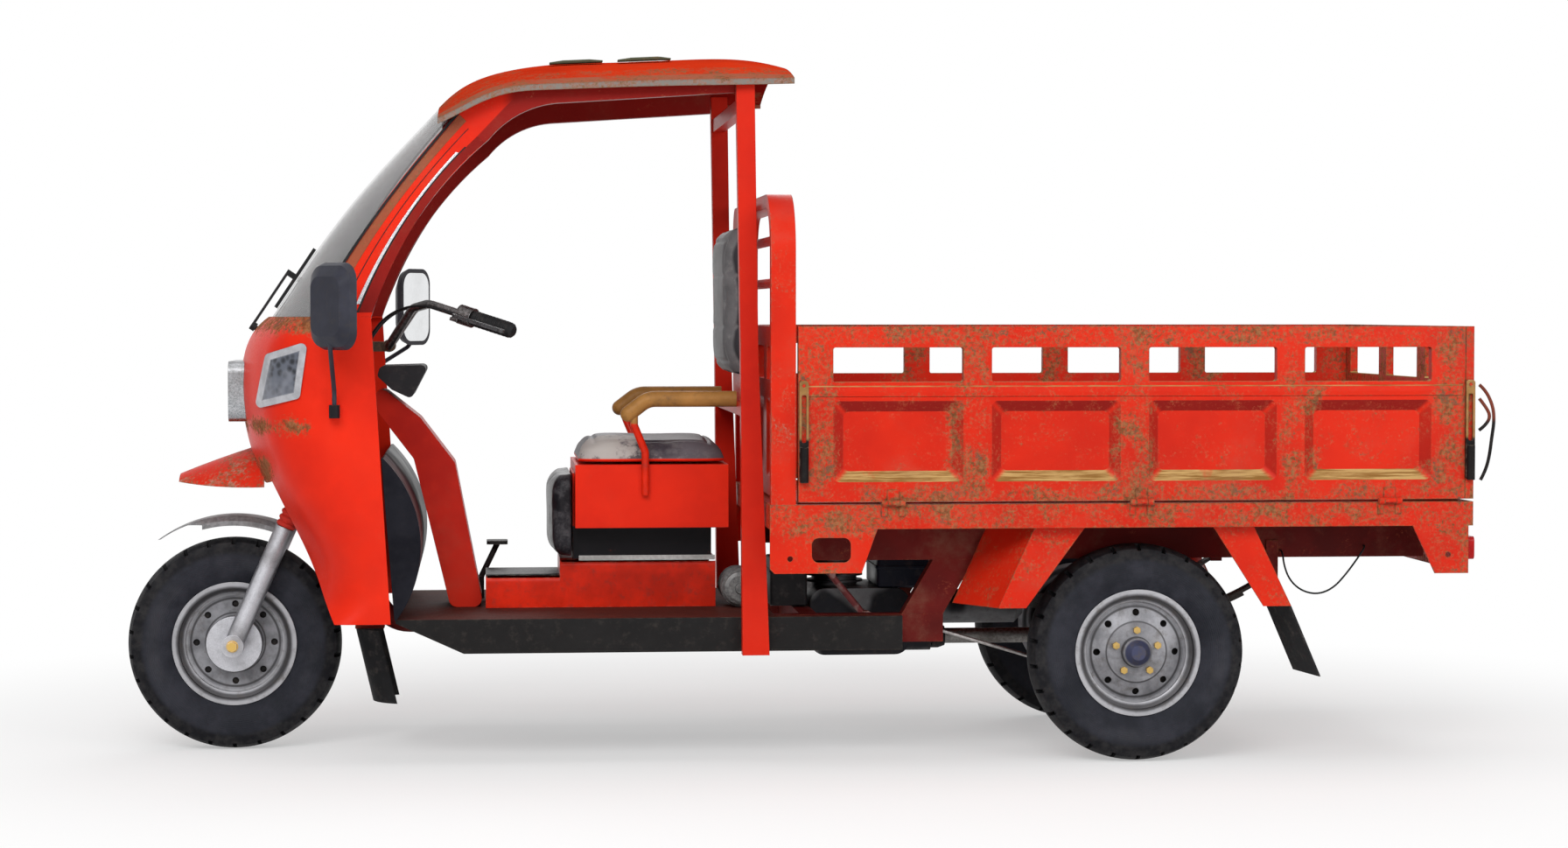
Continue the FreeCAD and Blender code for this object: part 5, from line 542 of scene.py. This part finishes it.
dress(two_tone("latch_bronze", below(0.845, 0.855), (0.30, 0.16, 0.055), (0.016, 0.014, 0.014),
               (0.42, 0.55), 0.7, chips=0.4),
      "latch_front_left", "latch_front_right", "latch_rear_left", "latch_rear_right")
dress(two_tone("kick_paint", lambda fin: fin.step(fin.noise(40.0, 5.0), 0.45, 0.6), (0.30, 0.07, 0.07),
               (0.42, 0.26, 0.24), (0.5, 0.6), 0.3, chips=0.6), "kick_lever")
dress(two_tone("mirror_shell", lambda fin: fin.faces("-X", 0.75, 0.86), (0.035, 0.036, 0.05),
               (0.045, 0.046, 0.06), (0.42, 0.4), chips=0.15, grain=500.0), "mirror_left", "mirror_right")
dress(plain_metal("lamp_silver", (0.80, 0.82, 0.86), (0.68, 0.70, 0.75), 0.2, 260.0, dirt=0.12),
      "headlamp_housings")


def lamp_face(fin):
    """1 in the silver border of a headlamp, seen from the side as a four-cornered outline."""
    corners = [Vector(place) for place in ((1.376, 1.067), (1.263, 1.101), (1.284, 0.955), (1.409, 0.924))]
    least = None
    for start, end in zip(corners, corners[1:] + corners[:1]):
        across = (end - start).orthogonal().normalized()
        away = fin.plus(fin.times(fin.axis("X"), across.x), fin.times(fin.axis("Z"), across.y))
        away = fin.maths("SUBTRACT", away, across.dot(start))
        least = away if least is None else fin.maths("MINIMUM", least, away)
    return fin.step(least, 0.016, 0.020, 1.0, 0.0)


def lamp_glass():
    """Opaque lens: dark with grey facets painted for the reflector behind it, lighter patches of painted
    reflection, and a silver border.
    """
    fin = Finish("lamp_glass")
    border = lamp_face(fin)
    facets = fin.step(fin.cells(55.0), 0.15, 0.75)
    # Painted reflections: lighter patches mixed into the lens colour.
    glow = fin.step(fin.noise(9.0, 3.0), 0.42, 0.62)
    inner = fin.mix(facets, (0.012, 0.014, 0.020), (0.10, 0.11, 0.14))
    inner = fin.mix(fin.times(glow, 0.5), inner, (0.26, 0.27, 0.31))
    rim = fin.mix(fin.step(fin.noise(30.0, 5.0), 0.35, 0.7), (0.34, 0.34, 0.36), (0.50, 0.50, 0.53))
    fin.set(Base_Color=fin.mix(border, inner, rim), Roughness=fin.blend(border, 0.08, 0.30),
            Metallic=fin.blend(border, 0.0, 0.6), Specular_IOR_Level=0.4,
            Normal=fin.bump(facets, 0.15, 0.0006))
    return fin.material


dress(lamp_glass(), "headlamp_lenses")
dress(clear_glass("screen_glass", (0.060, 0.061, 0.063), 0.60, dict(z=(1.66, 1.80))), "windscreen")


# Pieces made here

def new_piece(name, data, material=None, body=None):
    piece = bpy.data.objects.new(name, data)
    bpy.context.collection.objects.link(piece)
    if material:
        data.materials.append(material)
    if body:
        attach(piece, body)
    return piece


def mesh_piece(name, points, faces, material, body, smooth=True):
    """Mesh whose faces all look outward."""
    shell = bmesh.new()
    corners = [shell.verts.new(point) for point in points]
    for face in faces:
        shell.faces.new([corners[number] for number in face]).smooth = smooth
    bmesh.ops.recalc_face_normals(shell, faces=shell.faces)
    mesh = bpy.data.meshes.new(name)
    shell.to_mesh(mesh)
    shell.free()
    return new_piece(name, mesh, material, body)


def tube_faces(rings, count, base=0, ends="capped"):
    """Faces between neighbouring rings of points; the ends are capped, open or joined to each other."""
    faces = []
    for ring in range(rings if ends == "joined" else rings - 1):
        a = base + ring * count
        b = base + (ring + 1) % rings * count
        for index in range(count):
            after = (index + 1) % count
            faces.append((a + index, a + after, b + after, b + index))
    if ends == "capped":
        last = base + (rings - 1) * count
        faces += [range(base, base + count), range(last, last + count)]
    return faces


def rounded_outline(low, high, corner, steps):
    """Rectangle with round corners, as a ring of points."""
    left, bottom = (value + corner for value in low)
    right, top = (value - corner for value in high)
    points = []
    for turn, (x, y) in enumerate(((right, top), (left, top), (left, bottom), (right, bottom))):
        for step in range(steps + 1):
            angle = math.radians(90.0 * (turn + step / steps))
            points.append((x + corner * math.cos(angle), y + corner * math.sin(angle)))
    return points


def profile_bar(name, profile, start, end, sides, material, body, steps):
    """Straight bar along X with a profile in Y and Z, on one side or on both."""
    points = []
    faces = []
    for side in sides:
        faces += tube_faces(steps + 1, len(profile), len(points))
        for index in range(steps + 1):
            x = start + (end - start) * index / steps
            points += [(x, side * y, z) for y, z in profile]
    mesh_piece(name, points, faces, material, body, smooth=False)


def turned_piece(name, centre, profile, material, body, sides, ends="capped", smooth=False):
    """Piece turned about an axle along Y; the profile holds places along Y and radii."""
    points = []
    for y, radius in profile:
        for index in range(sides):
            angle = 2.0 * math.pi * index / sides
            points.append((centre[0] + radius * math.sin(angle), y, centre[2] + radius * math.cos(angle)))
    mesh_piece(name, points, tube_faces(len(profile), sides, ends=ends), material, body, smooth)


def line_piece(name, runs, radius, material, body):
    """Smooth round bar along lines of points."""
    data = bpy.data.curves.new(name, "CURVE")
    data.dimensions = "3D"
    data.resolution_u = 8
    data.bevel_depth = radius
    data.bevel_resolution = 4
    data.use_fill_caps = True
    for run in runs:
        spline = data.splines.new("NURBS")
        spline.points.add(len(run) - 1)
        for point, place in zip(spline.points, run):
            point.co = (*place, 1.0)
        spline.order_u = 3
        spline.use_endpoint_u = True
    return new_piece(name, data, material, body)


# Hanging wire under the bed
wire_black = moulded("wire_black", (0.010, 0.013, 0.013), 0.5, 900.0, 0.0001, dust=0.2)
wire_route = ((-1.300, 0.355, 0.540), (-1.300, 0.378, 0.540), (-1.303, 0.382, 0.503), (-1.318, 0.384, 0.463),
              (-1.350, 0.386, 0.434), (-1.394, 0.387, 0.424), (-1.437, 0.386, 0.441), (-1.472, 0.385, 0.479),
              (-1.503, 0.383, 0.520), (-1.526, 0.378, 0.552), (-1.526, 0.355, 0.552))
wire = line_piece("hanging_wire", [wire_route], 0.0025, wire_black, "chassis")
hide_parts("rear_wire")


# Upholstery: each pad is swollen by a short cloth simulation from a slightly smaller copy of its solid

def evaluated_mesh(piece):
    graph = bpy.context.evaluated_depsgraph_get()
    return bpy.data.meshes.new_from_object(piece.evaluated_get(graph), depsgraph=graph)


def pad_copy(name, node, voxel, shrink):
    piece = new_piece(name, nodes[node].data.copy())
    piece.data.materials.clear()
    low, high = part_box(node)
    middle = middle_of(node)
    scale = [1.0 - 2.0 * shrink / (b - a) for a, b in zip(low, high)]
    for vertex in piece.data.vertices:
        vertex.co = [m + (c - m) * s for c, m, s in zip(vertex.co, middle, scale)]
    remesh = piece.modifiers.new("voxels", "REMESH")
    remesh.mode = "VOXEL"
    remesh.voxel_size = voxel
    rough = piece.data
    piece.data = evaluated_mesh(piece)
    piece.modifiers.clear()
    bpy.data.meshes.remove(rough)
    return piece


def swell(piece, cap, hold):
    """Blows the pad up by cloth simulation; hold(point) is the share of the swelling that a point keeps."""
    frames = 20
    cloth = piece.modifiers.new("cloth", "CLOTH").settings
    cloth.use_pressure = True
    cloth.uniform_pressure_force = 4.0
    cloth.effector_weights.gravity = 0.0
    cloth.quality = 4
    cloth.tension_stiffness = 12.0
    cloth.compression_stiffness = 12.0
    scene = bpy.context.scene
    for number in range(1, frames + 1):
        scene.frame_set(number)
    swollen = evaluated_mesh(piece)
    piece.modifiers.clear()
    scene.frame_set(1)
    for vertex, new in zip(piece.data.vertices, swollen.vertices):
        move = new.co - vertex.co
        if move.length > cap:
            move = move * (cap / move.length)
        vertex.co = vertex.co + move * hold(vertex.co)
    bpy.data.meshes.remove(swollen)


def soften(piece):
    mesh = bmesh.new()
    mesh.from_mesh(piece.data)
    for _ in range(2):
        bmesh.ops.smooth_vert(mesh, verts=mesh.verts, factor=0.5, use_axis_x=True, use_axis_y=True,
                              use_axis_z=True)
    mesh.to_mesh(piece.data)
    mesh.free()


def ramp(value, low, high):
    share = min(1.0, max(0.0, (value - low) / (high - low)))
    return share * share * (3.0 - 2.0 * share)


def finish_pad(piece, material, node):
    piece.data.materials.clear()
    piece.data.materials.append(material)
    for face in piece.data.polygons:
        face.use_smooth = True
        face.material_index = 0
    piece.modifiers.new("rounding", "SUBSURF").levels = 1
    piece.modifiers["rounding"].render_levels = 1
    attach(piece, "chassis")
    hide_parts(node)


def swollen_pad(name, node, voxel, shrink, cap, axis, held):
    """Pad, with its solid's box; along an axis the swelling grows from nothing to all of it between held."""
    low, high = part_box(node)
    pad = pad_copy(name, node, voxel, shrink)
    swell(pad, cap, lambda point: ramp(point[axis], low[axis] + held[0], low[axis] + held[1]))
    soften(pad)
    return pad, low, high


def groove(piece, depth, width, distance):
    """Sinks a sewn line where distance(point) is zero, along the surface's own facing."""
    facing = [vertex.normal.copy() for vertex in piece.data.vertices]
    for vertex, normal in zip(piece.data.vertices, facing):
        away = distance(vertex.co)
        if abs(away) < 3.0 * width:
            vertex.co -= normal * depth * math.exp(-(away / width) ** 2)


def seat_piping(fin):
    """Red piping low round the seat's side."""
    return fin.inside(0.0015, z=(0.777, 0.786))


def back_rim(fin):
    """Dark edge binding of the backrest."""
    side = fin.step(fin.outward(), 0.208, 0.212)
    return fin.most([side, fin.step(fin.axis("Z"), 1.393, 1.397), fin.step(fin.axis("Z"), 1.018, 1.014)])


seat_vinyl = vinyl("seat_vinyl", (0.050, 0.041, 0.050), (0.115, 0.098, 0.110), (0.42, 0.385, 0.36),
                   worn_boxes=[dict(x=(0.40, 0.58), y=(0.08, 0.30), z=(0.78, 0.86))], piping=seat_piping)
seat, seat_low, seat_high = swollen_pad("seat_pad", "seat_cushion", voxel=0.0055, shrink=0.007,
                                        cap=0.012, axis=2, held=(0.010, 0.030))


def seat_seam(point):
    """Distance from the seam that runs round the top of the seat."""
    inset = 0.052
    side_height = 0.035
    if point.z < seat_low[2] + side_height:
        return 1.0
    along = min(seat_high[0] - point.x, point.x - seat_low[0])
    return min(seat_high[1] - abs(point.y), along) - inset


groove(seat, 0.005, 0.005, seat_seam)
finish_pad(seat, seat_vinyl, "seat_cushion")

back_vinyl = vinyl("back_vinyl", (0.115, 0.115, 0.118), (0.165, 0.162, 0.166), (0.215, 0.21, 0.21),
                   piping=back_rim, trim=(0.030, 0.028, 0.032))
back, back_low, back_high = swollen_pad("back_pad", "backrest_cushion", voxel=0.0055, shrink=0.006,
                                        cap=0.012, axis=0, held=(0.008, 0.026))


def back_seam(point):
    """Distance from the seam that runs round the front of the backrest."""
    inset = 0.045
    side_depth = 0.03
    if point.x < back_low[0] + side_depth:
        return 1.0
    upright = min(back_high[2] - point.z, point.z - back_low[2])
    return min(back_high[1] - abs(point.y), upright) - inset


groove(back, 0.004, 0.005, back_seam)
for share in (1.0 / 3.0, 2.0 / 3.0):
    level = back_low[2] + share * (back_high[2] - back_low[2])
    groove(back, 0.004, 0.005, lambda point: point.z - level if back_seam(point) > 0.0 else 1.0)
finish_pad(back, back_vinyl, "backrest_cushion")

shin_vinyl = vinyl("shin_vinyl", (0.010, 0.009, 0.011), (0.022, 0.020, 0.024), (0.07, 0.065, 0.07),
                   roughness=0.28)
shin = swollen_pad("shin_cover", "shin_pad", voxel=0.005, shrink=0.004, cap=0.006, axis=0,
                   held=(0.004, 0.016))[0]
finish_pad(shin, shin_vinyl, "shin_pad")


# Trim on the cab pillars, and a strip of painted shade over their rear parts

def three_point_curve(first, middle, last):
    """Smooth run through three places, as a function of a share of its length."""
    def at(share):
        a = (1.0 - share) * (1.0 - 2.0 * share)
        b = 4.0 * share * (1.0 - share)
        c = share * (2.0 * share - 1.0)
        return tuple(a * p + b * q + c * r for p, q, r in zip(first, middle, last))
    return at


pillar_front = three_point_curve((1.253, 1.163), (1.102, 1.407), (0.872, 1.695))
pillar_rear = three_point_curve((1.102, 1.163), (0.972, 1.428), (0.800, 1.618))
pillar_face = 0.4695


def pillar_strip(name, near, far, start, end, proud, material, steps=40):
    """Thin strip on both pillars' outer faces; near and far are shares of the pillar's width."""
    points = []
    faces = []
    for side in (1.0, -1.0):
        faces += tube_faces(steps + 1, 4, len(points))
        for index in range(steps + 1):
            share = start + (end - start) * index / steps
            front = pillar_front(share)
            rear = pillar_rear(share)
            for width, height in ((near, 0.0), (near, proud), (far, proud), (far, 0.0)):
                x, z = (a + width * (b - a) for a, b in zip(front, rear))
                points.append((x, side * (pillar_face + height), z))
    mesh_piece(name, points, faces, material, "chassis", smooth=False)


seal_rubber = moulded("seal_rubber", (0.010, 0.010, 0.011), 0.5, 400.0, dust=0.2)
faded_paint = painted("faded_paint", (0.34, 0.085, 0.040), (0.24, 0.060, 0.030), wear=1.05,
                      primer=(tan, olive, grey_green), dust=0.3)
# Painted shade: dark red for the rear part of each pillar's outer face, the pillar_shade strip
painted_shade = painted("painted_shade", shaded_red, (0.18, 0.008, 0.006), wear=0.12, dust=0.1)
strip_chrome = plain_metal("strip_chrome", (0.78, 0.79, 0.82), (0.60, 0.62, 0.66), 0.14, 200.0, dirt=0.1)
pillar_strip("screen_seal", -0.01, 0.06, 0.0, 0.985, 0.004, seal_rubber)
pillar_strip("worn_band", 0.07, 0.30, 0.02, 0.985, 0.0010, faded_paint)
pillar_strip("pillar_seam", 0.455, 0.475, 0.0, 0.97, 0.0012, seal_rubber)
pillar_strip("pillar_chrome", 0.66, 0.725, 0.06, 0.86, 0.004, strip_chrome)
pillar_strip("chrome_seam", 0.725, 0.76, 0.02, 0.90, 0.0012, seal_rubber)
pillar_strip("pillar_shade", 0.76, 0.995, 0.02, 0.97, 0.0010, painted_shade)


# Ribs on the roof

def roof_top(x):
    """Height of the roof along its middle, from shares of its rise at a few places."""
    top = 1.86
    rise = 0.205
    places = (0.930, 0.880, 0.793, 0.656, 0.346, 0.082, 0.018)
    drops = (0.668, 0.44, 0.24, 0.11, 0.038, 0.045, 0.127)
    for x0, x1, d0, d1 in zip(places, places[1:], drops, drops[1:]):
        if x1 <= x <= x0:
            return top - rise * (d0 + (d1 - d0) * (x0 - x) / (x0 - x1))
    return top - rise * drops[-1]


def roof_rib(name, y, start, end, material, steps=24):
    """Low strip bonded along the roof, with sloped ends."""
    foot = 0.022
    crest = 0.016
    height = 0.004
    camber = 0.10
    points = []
    for index in range(steps + 1):
        x = start + (end - start) * index / steps
        rise = height * min(1.0, 4.0 * index / steps, 4.0 * (steps - index) / steps)
        base = roof_top(x) - height - camber * y * y
        top = base + height + rise
        points += [(x, y - foot, base), (x, y - crest, top), (x, y + crest, top), (x, y + foot, base)]
    mesh_piece(name, points, tube_faces(steps + 1, 4), material, "chassis")


rib_green = moulded("rib_green", (0.050, 0.055, 0.030), 0.7, 120.0, 0.0006, dust=0.6,
                    dust_colour=(0.22, 0.13, 0.06))
rib_runs = ((0.0, 0.66, 0.52), (0.0, 0.46, 0.30), (0.22, 0.64, 0.50), (0.22, 0.46, 0.32), (-0.22, 0.64, 0.32))
for number, (y, start, end) in enumerate(rib_runs):
    roof_rib("roof_rib_" + str(number), y, start, end, rib_green)


# Grille backing

def grille_backing():
    """Dark sheet behind the bars, curved across like the fairing."""
    across = 12
    levels = 6
    bottom = 0.896
    top = 1.034
    half = 0.153
    bend = 0.9
    reach = 1.4665
    level = 0.972
    points = []
    faces = []
    for row in range(levels + 1):
        z = bottom + (top - bottom) * row / levels
        nose = reach - 1.05 * (z - level) ** 2
        for column in range(across + 1):
            y = half * (2.0 * column / across - 1.0)
            points.append((nose - bend + math.sqrt(bend * bend - y * y), y, z))
    for row in range(levels):
        for column in range(across):
            a = row * (across + 1) + column
            faces.append((a, a + 1, a + across + 2, a + across + 1))
    dark = moulded("grille_dark", (0.006, 0.006, 0.007), 0.6, 200.0, 0.0006, dust=0.2)
    mesh_piece("grille_backing", points, faces, dark, "chassis")


grille_backing()


# Mirror glass

def mirror_pane(name, head, turn, body):
    """Rounded, slightly domed pane set just proud of the housing."""
    half = 0.0735
    tall = 0.098
    proud = 0.0008
    dome = 0.0022
    outline = rounded_outline((-half, -tall), (half, tall), 0.040, 8)
    count = len(outline)
    turned = Matrix.Rotation(math.radians(turn), 3, "Z")
    rings = (1.0, 0.85, 0.6, 0.3)
    points = []
    for scale in rings:
        depth = proud + dome * (1.0 - scale * scale)
        points += [head + turned @ Vector((-depth, u * scale, v * scale)) for u, v in outline]
    inner = len(points) - count
    middle = len(points)
    points.append(head + turned @ Vector((-proud - dome, 0.0, 0.0)))
    faces = tube_faces(len(rings), count, ends="open")
    faces += [(inner + index, inner + (index + 1) % count, middle) for index in range(count)]
    mesh_piece(name, points, faces, mirror_silver, body)


mirror_silver = plain_metal("mirror_silver", (0.82, 0.83, 0.84), (0.78, 0.79, 0.80), 0.05, 90.0, dirt=0.12,
                            grime=(0.30, 0.29, 0.28), edge=0.0)
mirror_pane("mirror_glass_left", Vector((1.185, 0.6109, 1.190)), 42.0, "left_mirror")
mirror_pane("mirror_glass_right", Vector((1.010, -0.6038, 1.190)), -28.0, "right_mirror")


# Pale rail under the seat box
rail_grey = plain_metal("rail_grey", (0.42, 0.41, 0.40), (0.30, 0.29, 0.28), 0.5, 120.0, dirt=0.35,
                        metallic=0.2)
rail_profile = ((0.2455, 0.518), (0.2485, 0.518), (0.2485, 0.531), (0.2455, 0.531))
profile_bar("seat_rail", rail_profile, 0.205, 0.566, (1.0, -1.0), rail_grey, "chassis", steps=2)


# Ledge strips under the windows of the side gates
ledge_profile = ((0.5995, 0.958), (0.6025, 0.960), (0.6035, 0.972), (0.6025, 0.984), (0.5995, 0.988))
for name, side, body in (("gate_ledge_left", 1.0, "left_gate"), ("gate_ledge_right", -1.0, "right_gate")):
    profile_bar(name, ledge_profile, -1.720, 0.010, (side,), gate_paint, body, steps=40)


# Control cables from the hand levers to the upper yoke


cable_black = moulded("cable_black", (0.009, 0.009, 0.010), 0.5, 800.0, 0.0001, dust=0.15)
cable_route = ((0.8789, 0.3419, 1.1670), (0.925, 0.322, 1.184), (1.000, 0.244, 1.196), (1.072, 0.165, 1.168),
               (1.122, 0.108, 1.106), (1.150, 0.082, 1.040), (1.165, 0.074, 0.980))
for name, side in (("clutch_cable", 1.0), ("brake_cable", -1.0)):
    route = [(x, side * y, z) for x, y, z in cable_route]
    cable = line_piece(name, [route], 0.003, cable_black, "steering")


# Brake rod from the frame to the rear axle

def bent_rod(name, route, radius, material, sides=10):
    points = []
    for index, spot in enumerate(route):
        ahead = (route[min(index + 1, len(route) - 1)] - route[max(index - 1, 0)]).normalized()
        across = Vector((0.0, 1.0, 0.0))
        up = ahead.cross(across).normalized()
        for corner in range(sides):
            angle = 2.0 * math.pi * corner / sides
            points.append(spot + radius * (math.cos(angle) * across + math.sin(angle) * up))
    return mesh_piece(name, points, tube_faces(len(route), sides), material, None)


rod_steel = plain_metal("rod_steel", (0.52, 0.50, 0.49), (0.30, 0.28, 0.27), 0.35, 90.0, dirt=0.35)
rod_y = 0.262
rod_start = Vector((-0.300, rod_y, 0.356))
rod_end = Vector((-0.790, rod_y, 0.208))
rod_line = [rod_start + (rod_end - rod_start) * index / 12 for index in range(13)]
rod_line += [Vector((x, rod_y, z)) for x, z in ((-0.806, 0.210), (-0.822, 0.226), (-0.850, 0.262))]
rod = bent_rod("brake_rod", rod_line, 0.005, rod_steel)
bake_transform(rod)


# Painted shade: dark rings set behind the vents of the wheels, seen through the vents
vent_painted_shade = moulded("vent_painted_shade", (0.012, 0.011, 0.011), 0.7, 200.0, 0.0004, dust=0.4)
vent_inner = 0.0925
vent_outer = 0.1180
for name, y, centre, body in (("front_vents", 0.0, front_centre, "front_wheel"),
                              ("rear_left_vents", 0.455, rear_centre, "rear_wheel_left"),
                              ("rear_right_vents", -0.448, rear_centre, "rear_wheel_right")):
    near = y - 0.004
    far = y - 0.007
    vent_profile = [(near, vent_inner), (near, vent_outer), (far, vent_outer), (far, vent_inner)]
    turned_piece(name, centre, vent_profile, vent_painted_shade, body, sides=48, ends="joined", smooth=True)


# Springs and fork gaiters, as copies of their parts

def flexing_copy(name, node):
    piece = new_piece(name, nodes[node].data.copy())
    for slot, source in zip(piece.material_slots, nodes[node].material_slots):
        slot.material = source.material
    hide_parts(node)
    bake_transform(piece)


flexing_copy("fork_gaiters", "fork_boots")
flexing_copy("spring_leaves", "leaf_springs")


# Battery, air cleaner and air box round the engine

def rounded_block(name, low, high, levels, material):
    """Upright block with rounded corners; each level is a height share and an inset."""
    points = []
    for share, inset in levels:
        z = low[2] + share * (high[2] - low[2])
        near = [value + inset for value in low[:2]]
        far = [value - inset for value in high[:2]]
        outline = rounded_outline(near, far, 0.010, 4)
        points += [(x, y, z) for x, y in outline]
    mesh_piece(name, points, tube_faces(len(levels), len(outline)), material, "chassis", smooth=False)


battery_case = moulded("battery_case", (0.010, 0.009, 0.010), 0.5, 260.0, 0.0004, dust=0.3)
battery_levels = ((0.0, 0.002), (0.02, 0.0), (0.70, 0.0), (0.71, -0.003), (0.76, -0.003), (0.77, 0.0),
                  (0.97, 0.0), (1.0, 0.003))
rounded_block("battery", (-0.052, -0.020, 0.3845), (0.048, 0.152, 0.512), battery_levels, battery_case)

air_navy = moulded("air_box_navy", (0.008, 0.009, 0.018), 0.45, 300.0, 0.0003, dust=0.25)
air_levels = ((0.0, 0.006), (0.06, 0.0), (0.58, 0.0), (0.59, -0.003), (0.66, -0.003), (0.67, 0.0),
              (0.92, 0.003), (1.0, 0.010))
rounded_block("air_box", (-0.385, -0.110, 0.4305), (-0.242, 0.150, 0.519), air_levels, air_navy)

cleaner_grey = plain_metal("cleaner_grey", (0.26, 0.255, 0.25), (0.09, 0.09, 0.09), 0.45, 110.0, dirt=0.5,
                           metallic=0.4)
core = 0.044
crown = 0.051
rib_pitch = 0.024
cleaner = [(0.030, 0.030), (0.034, core)]
for row in range(6):
    y = 0.044 + rib_pitch * row
    cleaner += [(y, core), (y + 0.006, crown), (y + 0.014, crown), (y + 0.020, core)]
cleaner += [(0.196, core), (0.200, 0.034), (0.200, 0.016), (0.208, 0.014), (0.208, 0.004)]
turned_piece("air_cleaner", (0.132, 0.0, 0.4365), cleaner, cleaner_grey, "chassis", sides=32)


# Straps on the tailgate
strap_bronze = two_tone("strap_bronze", below(0.885, 0.905), (0.20, 0.045, 0.025), (0.012, 0.010, 0.010),
                        (0.45, 0.5), chips=0.4)
strap_outer = ((-1.7690, 0.986), (-1.786, 0.972), (-1.806, 0.930), (-1.809, 0.890), (-1.803, 0.850),
               (-1.797, 0.800), (-1.786, 0.760), (-1.7735, 0.738))
strap_inner = ((-1.7690, 0.950), (-1.782, 0.935), (-1.800, 0.905), (-1.786, 0.880), (-1.7690, 0.868))
for name, y in (("tail_strap_left", 0.585), ("tail_strap_right", -0.585)):
    runs = [[(x, y, z) for x, z in run] for run in (strap_outer, strap_inner)]
    line_piece(name, runs, 0.0045, strap_bronze, "rear_gate")


# Floor and light

def seen_rays(graph):
    """1 for rays from the camera, or seen in gloss or through glass."""
    path = graph.add("LightPath").outputs
    seen = graph.maths("MAXIMUM", path["Is Camera Ray"], path["Is Glossy Ray"])
    return graph.maths("MAXIMUM", seen, path["Is Transmission Ray"])


def stage_floor():
    """White floor that glows where it is seen, more so away from the part, so that shadows fade out."""
    fin = Finish("floor_white")
    fin.set(Base_Color=(0.93, 0.93, 0.93), Roughness=0.9, Specular_IOR_Level=0.0)
    away = fin.vector("LENGTH", fin.place, result="Value")
    share = fin.times(fin.step(away, 1.4, 3.4, 0.40, 1.0), seen_rays(fin))
    glow = fin.add("Emission", {"Color": (1.0, 1.0, 1.0)})
    both = fin.add("MixShader", {0: share, 1: fin.shader.outputs[0], 2: glow.outputs[0]})
    fin.feed(fin.tree.nodes["Material Output"].inputs["Surface"], both.outputs[0])
    size = 30.0
    corners = [(-size, -size, 0.0), (size, -size, 0.0), (size, size, 0.0), (-size, size, 0.0)]
    mesh = bpy.data.meshes.new("floor")
    mesh.from_pydata(corners, [], [(0, 1, 2, 3)])
    new_piece("floor", mesh, fin.material)


def area_light(name, place, target, width, height, power):
    data = bpy.data.lights.new(name, "AREA")
    data.shape = "RECTANGLE"
    data.size = width
    data.size_y = height
    data.energy = power
    lamp = new_piece(name, data)
    lamp.location = place
    lamp.rotation_euler = (Vector(target) - Vector(place)).to_track_quat("-Z", "Y").to_euler()


def white_world():
    """White backdrop, dimmer as a source of light than as it is seen."""
    world = bpy.data.worlds.new("world")
    bpy.context.scene.world = world
    sky = Graph(world)
    backdrop = sky.tree.nodes["Background"].inputs
    level = sky.add("MapRange", {"Value": seen_rays(sky), "To Min": 0.30, "To Max": 1.0})
    sky.feed(backdrop["Color"], (1.0, 1.0, 1.0))
    sky.feed(backdrop["Strength"], level.outputs["Result"])


stage_floor()
area_light("key_light", (2.2, 6.2, 4.6), (0.0, 0.0, 0.8), 5.0, 3.0, 315.0)
area_light("fill_light", (-4.0, 5.5, 2.6), (-0.3, 0.0, 0.7), 4.0, 3.0, 130.0)
area_light("top_light", (0.0, 0.5, 6.0), (0.0, 0.0, 0.0), 6.0, 4.0, 100.0)
area_light("rear_light", (-1.0, -5.5, 4.0), (0.0, 0.0, 0.8), 5.0, 3.0, 100.0)
white_world()
bpy.context.scene.view_settings.view_transform = "Standard"


# Camera
eye = Vector((0.8104, 8.82, 1.178))
yaw = 5.266
pitch = 1.996
focal_pixels = 3700.0
photo_width_pixels = 1792.0
lens = bpy.data.cameras.new("camera")
lens.sensor_width = 36.0
lens.lens = focal_pixels * lens.sensor_width / photo_width_pixels
camera = new_piece("camera", lens)
turn = Euler((math.radians(90.0 - pitch), 0.0, math.radians(180.0 - yaw)))
camera.matrix_world = Matrix.LocRotScale(eye, turn, None)
bpy.context.scene.camera = camera
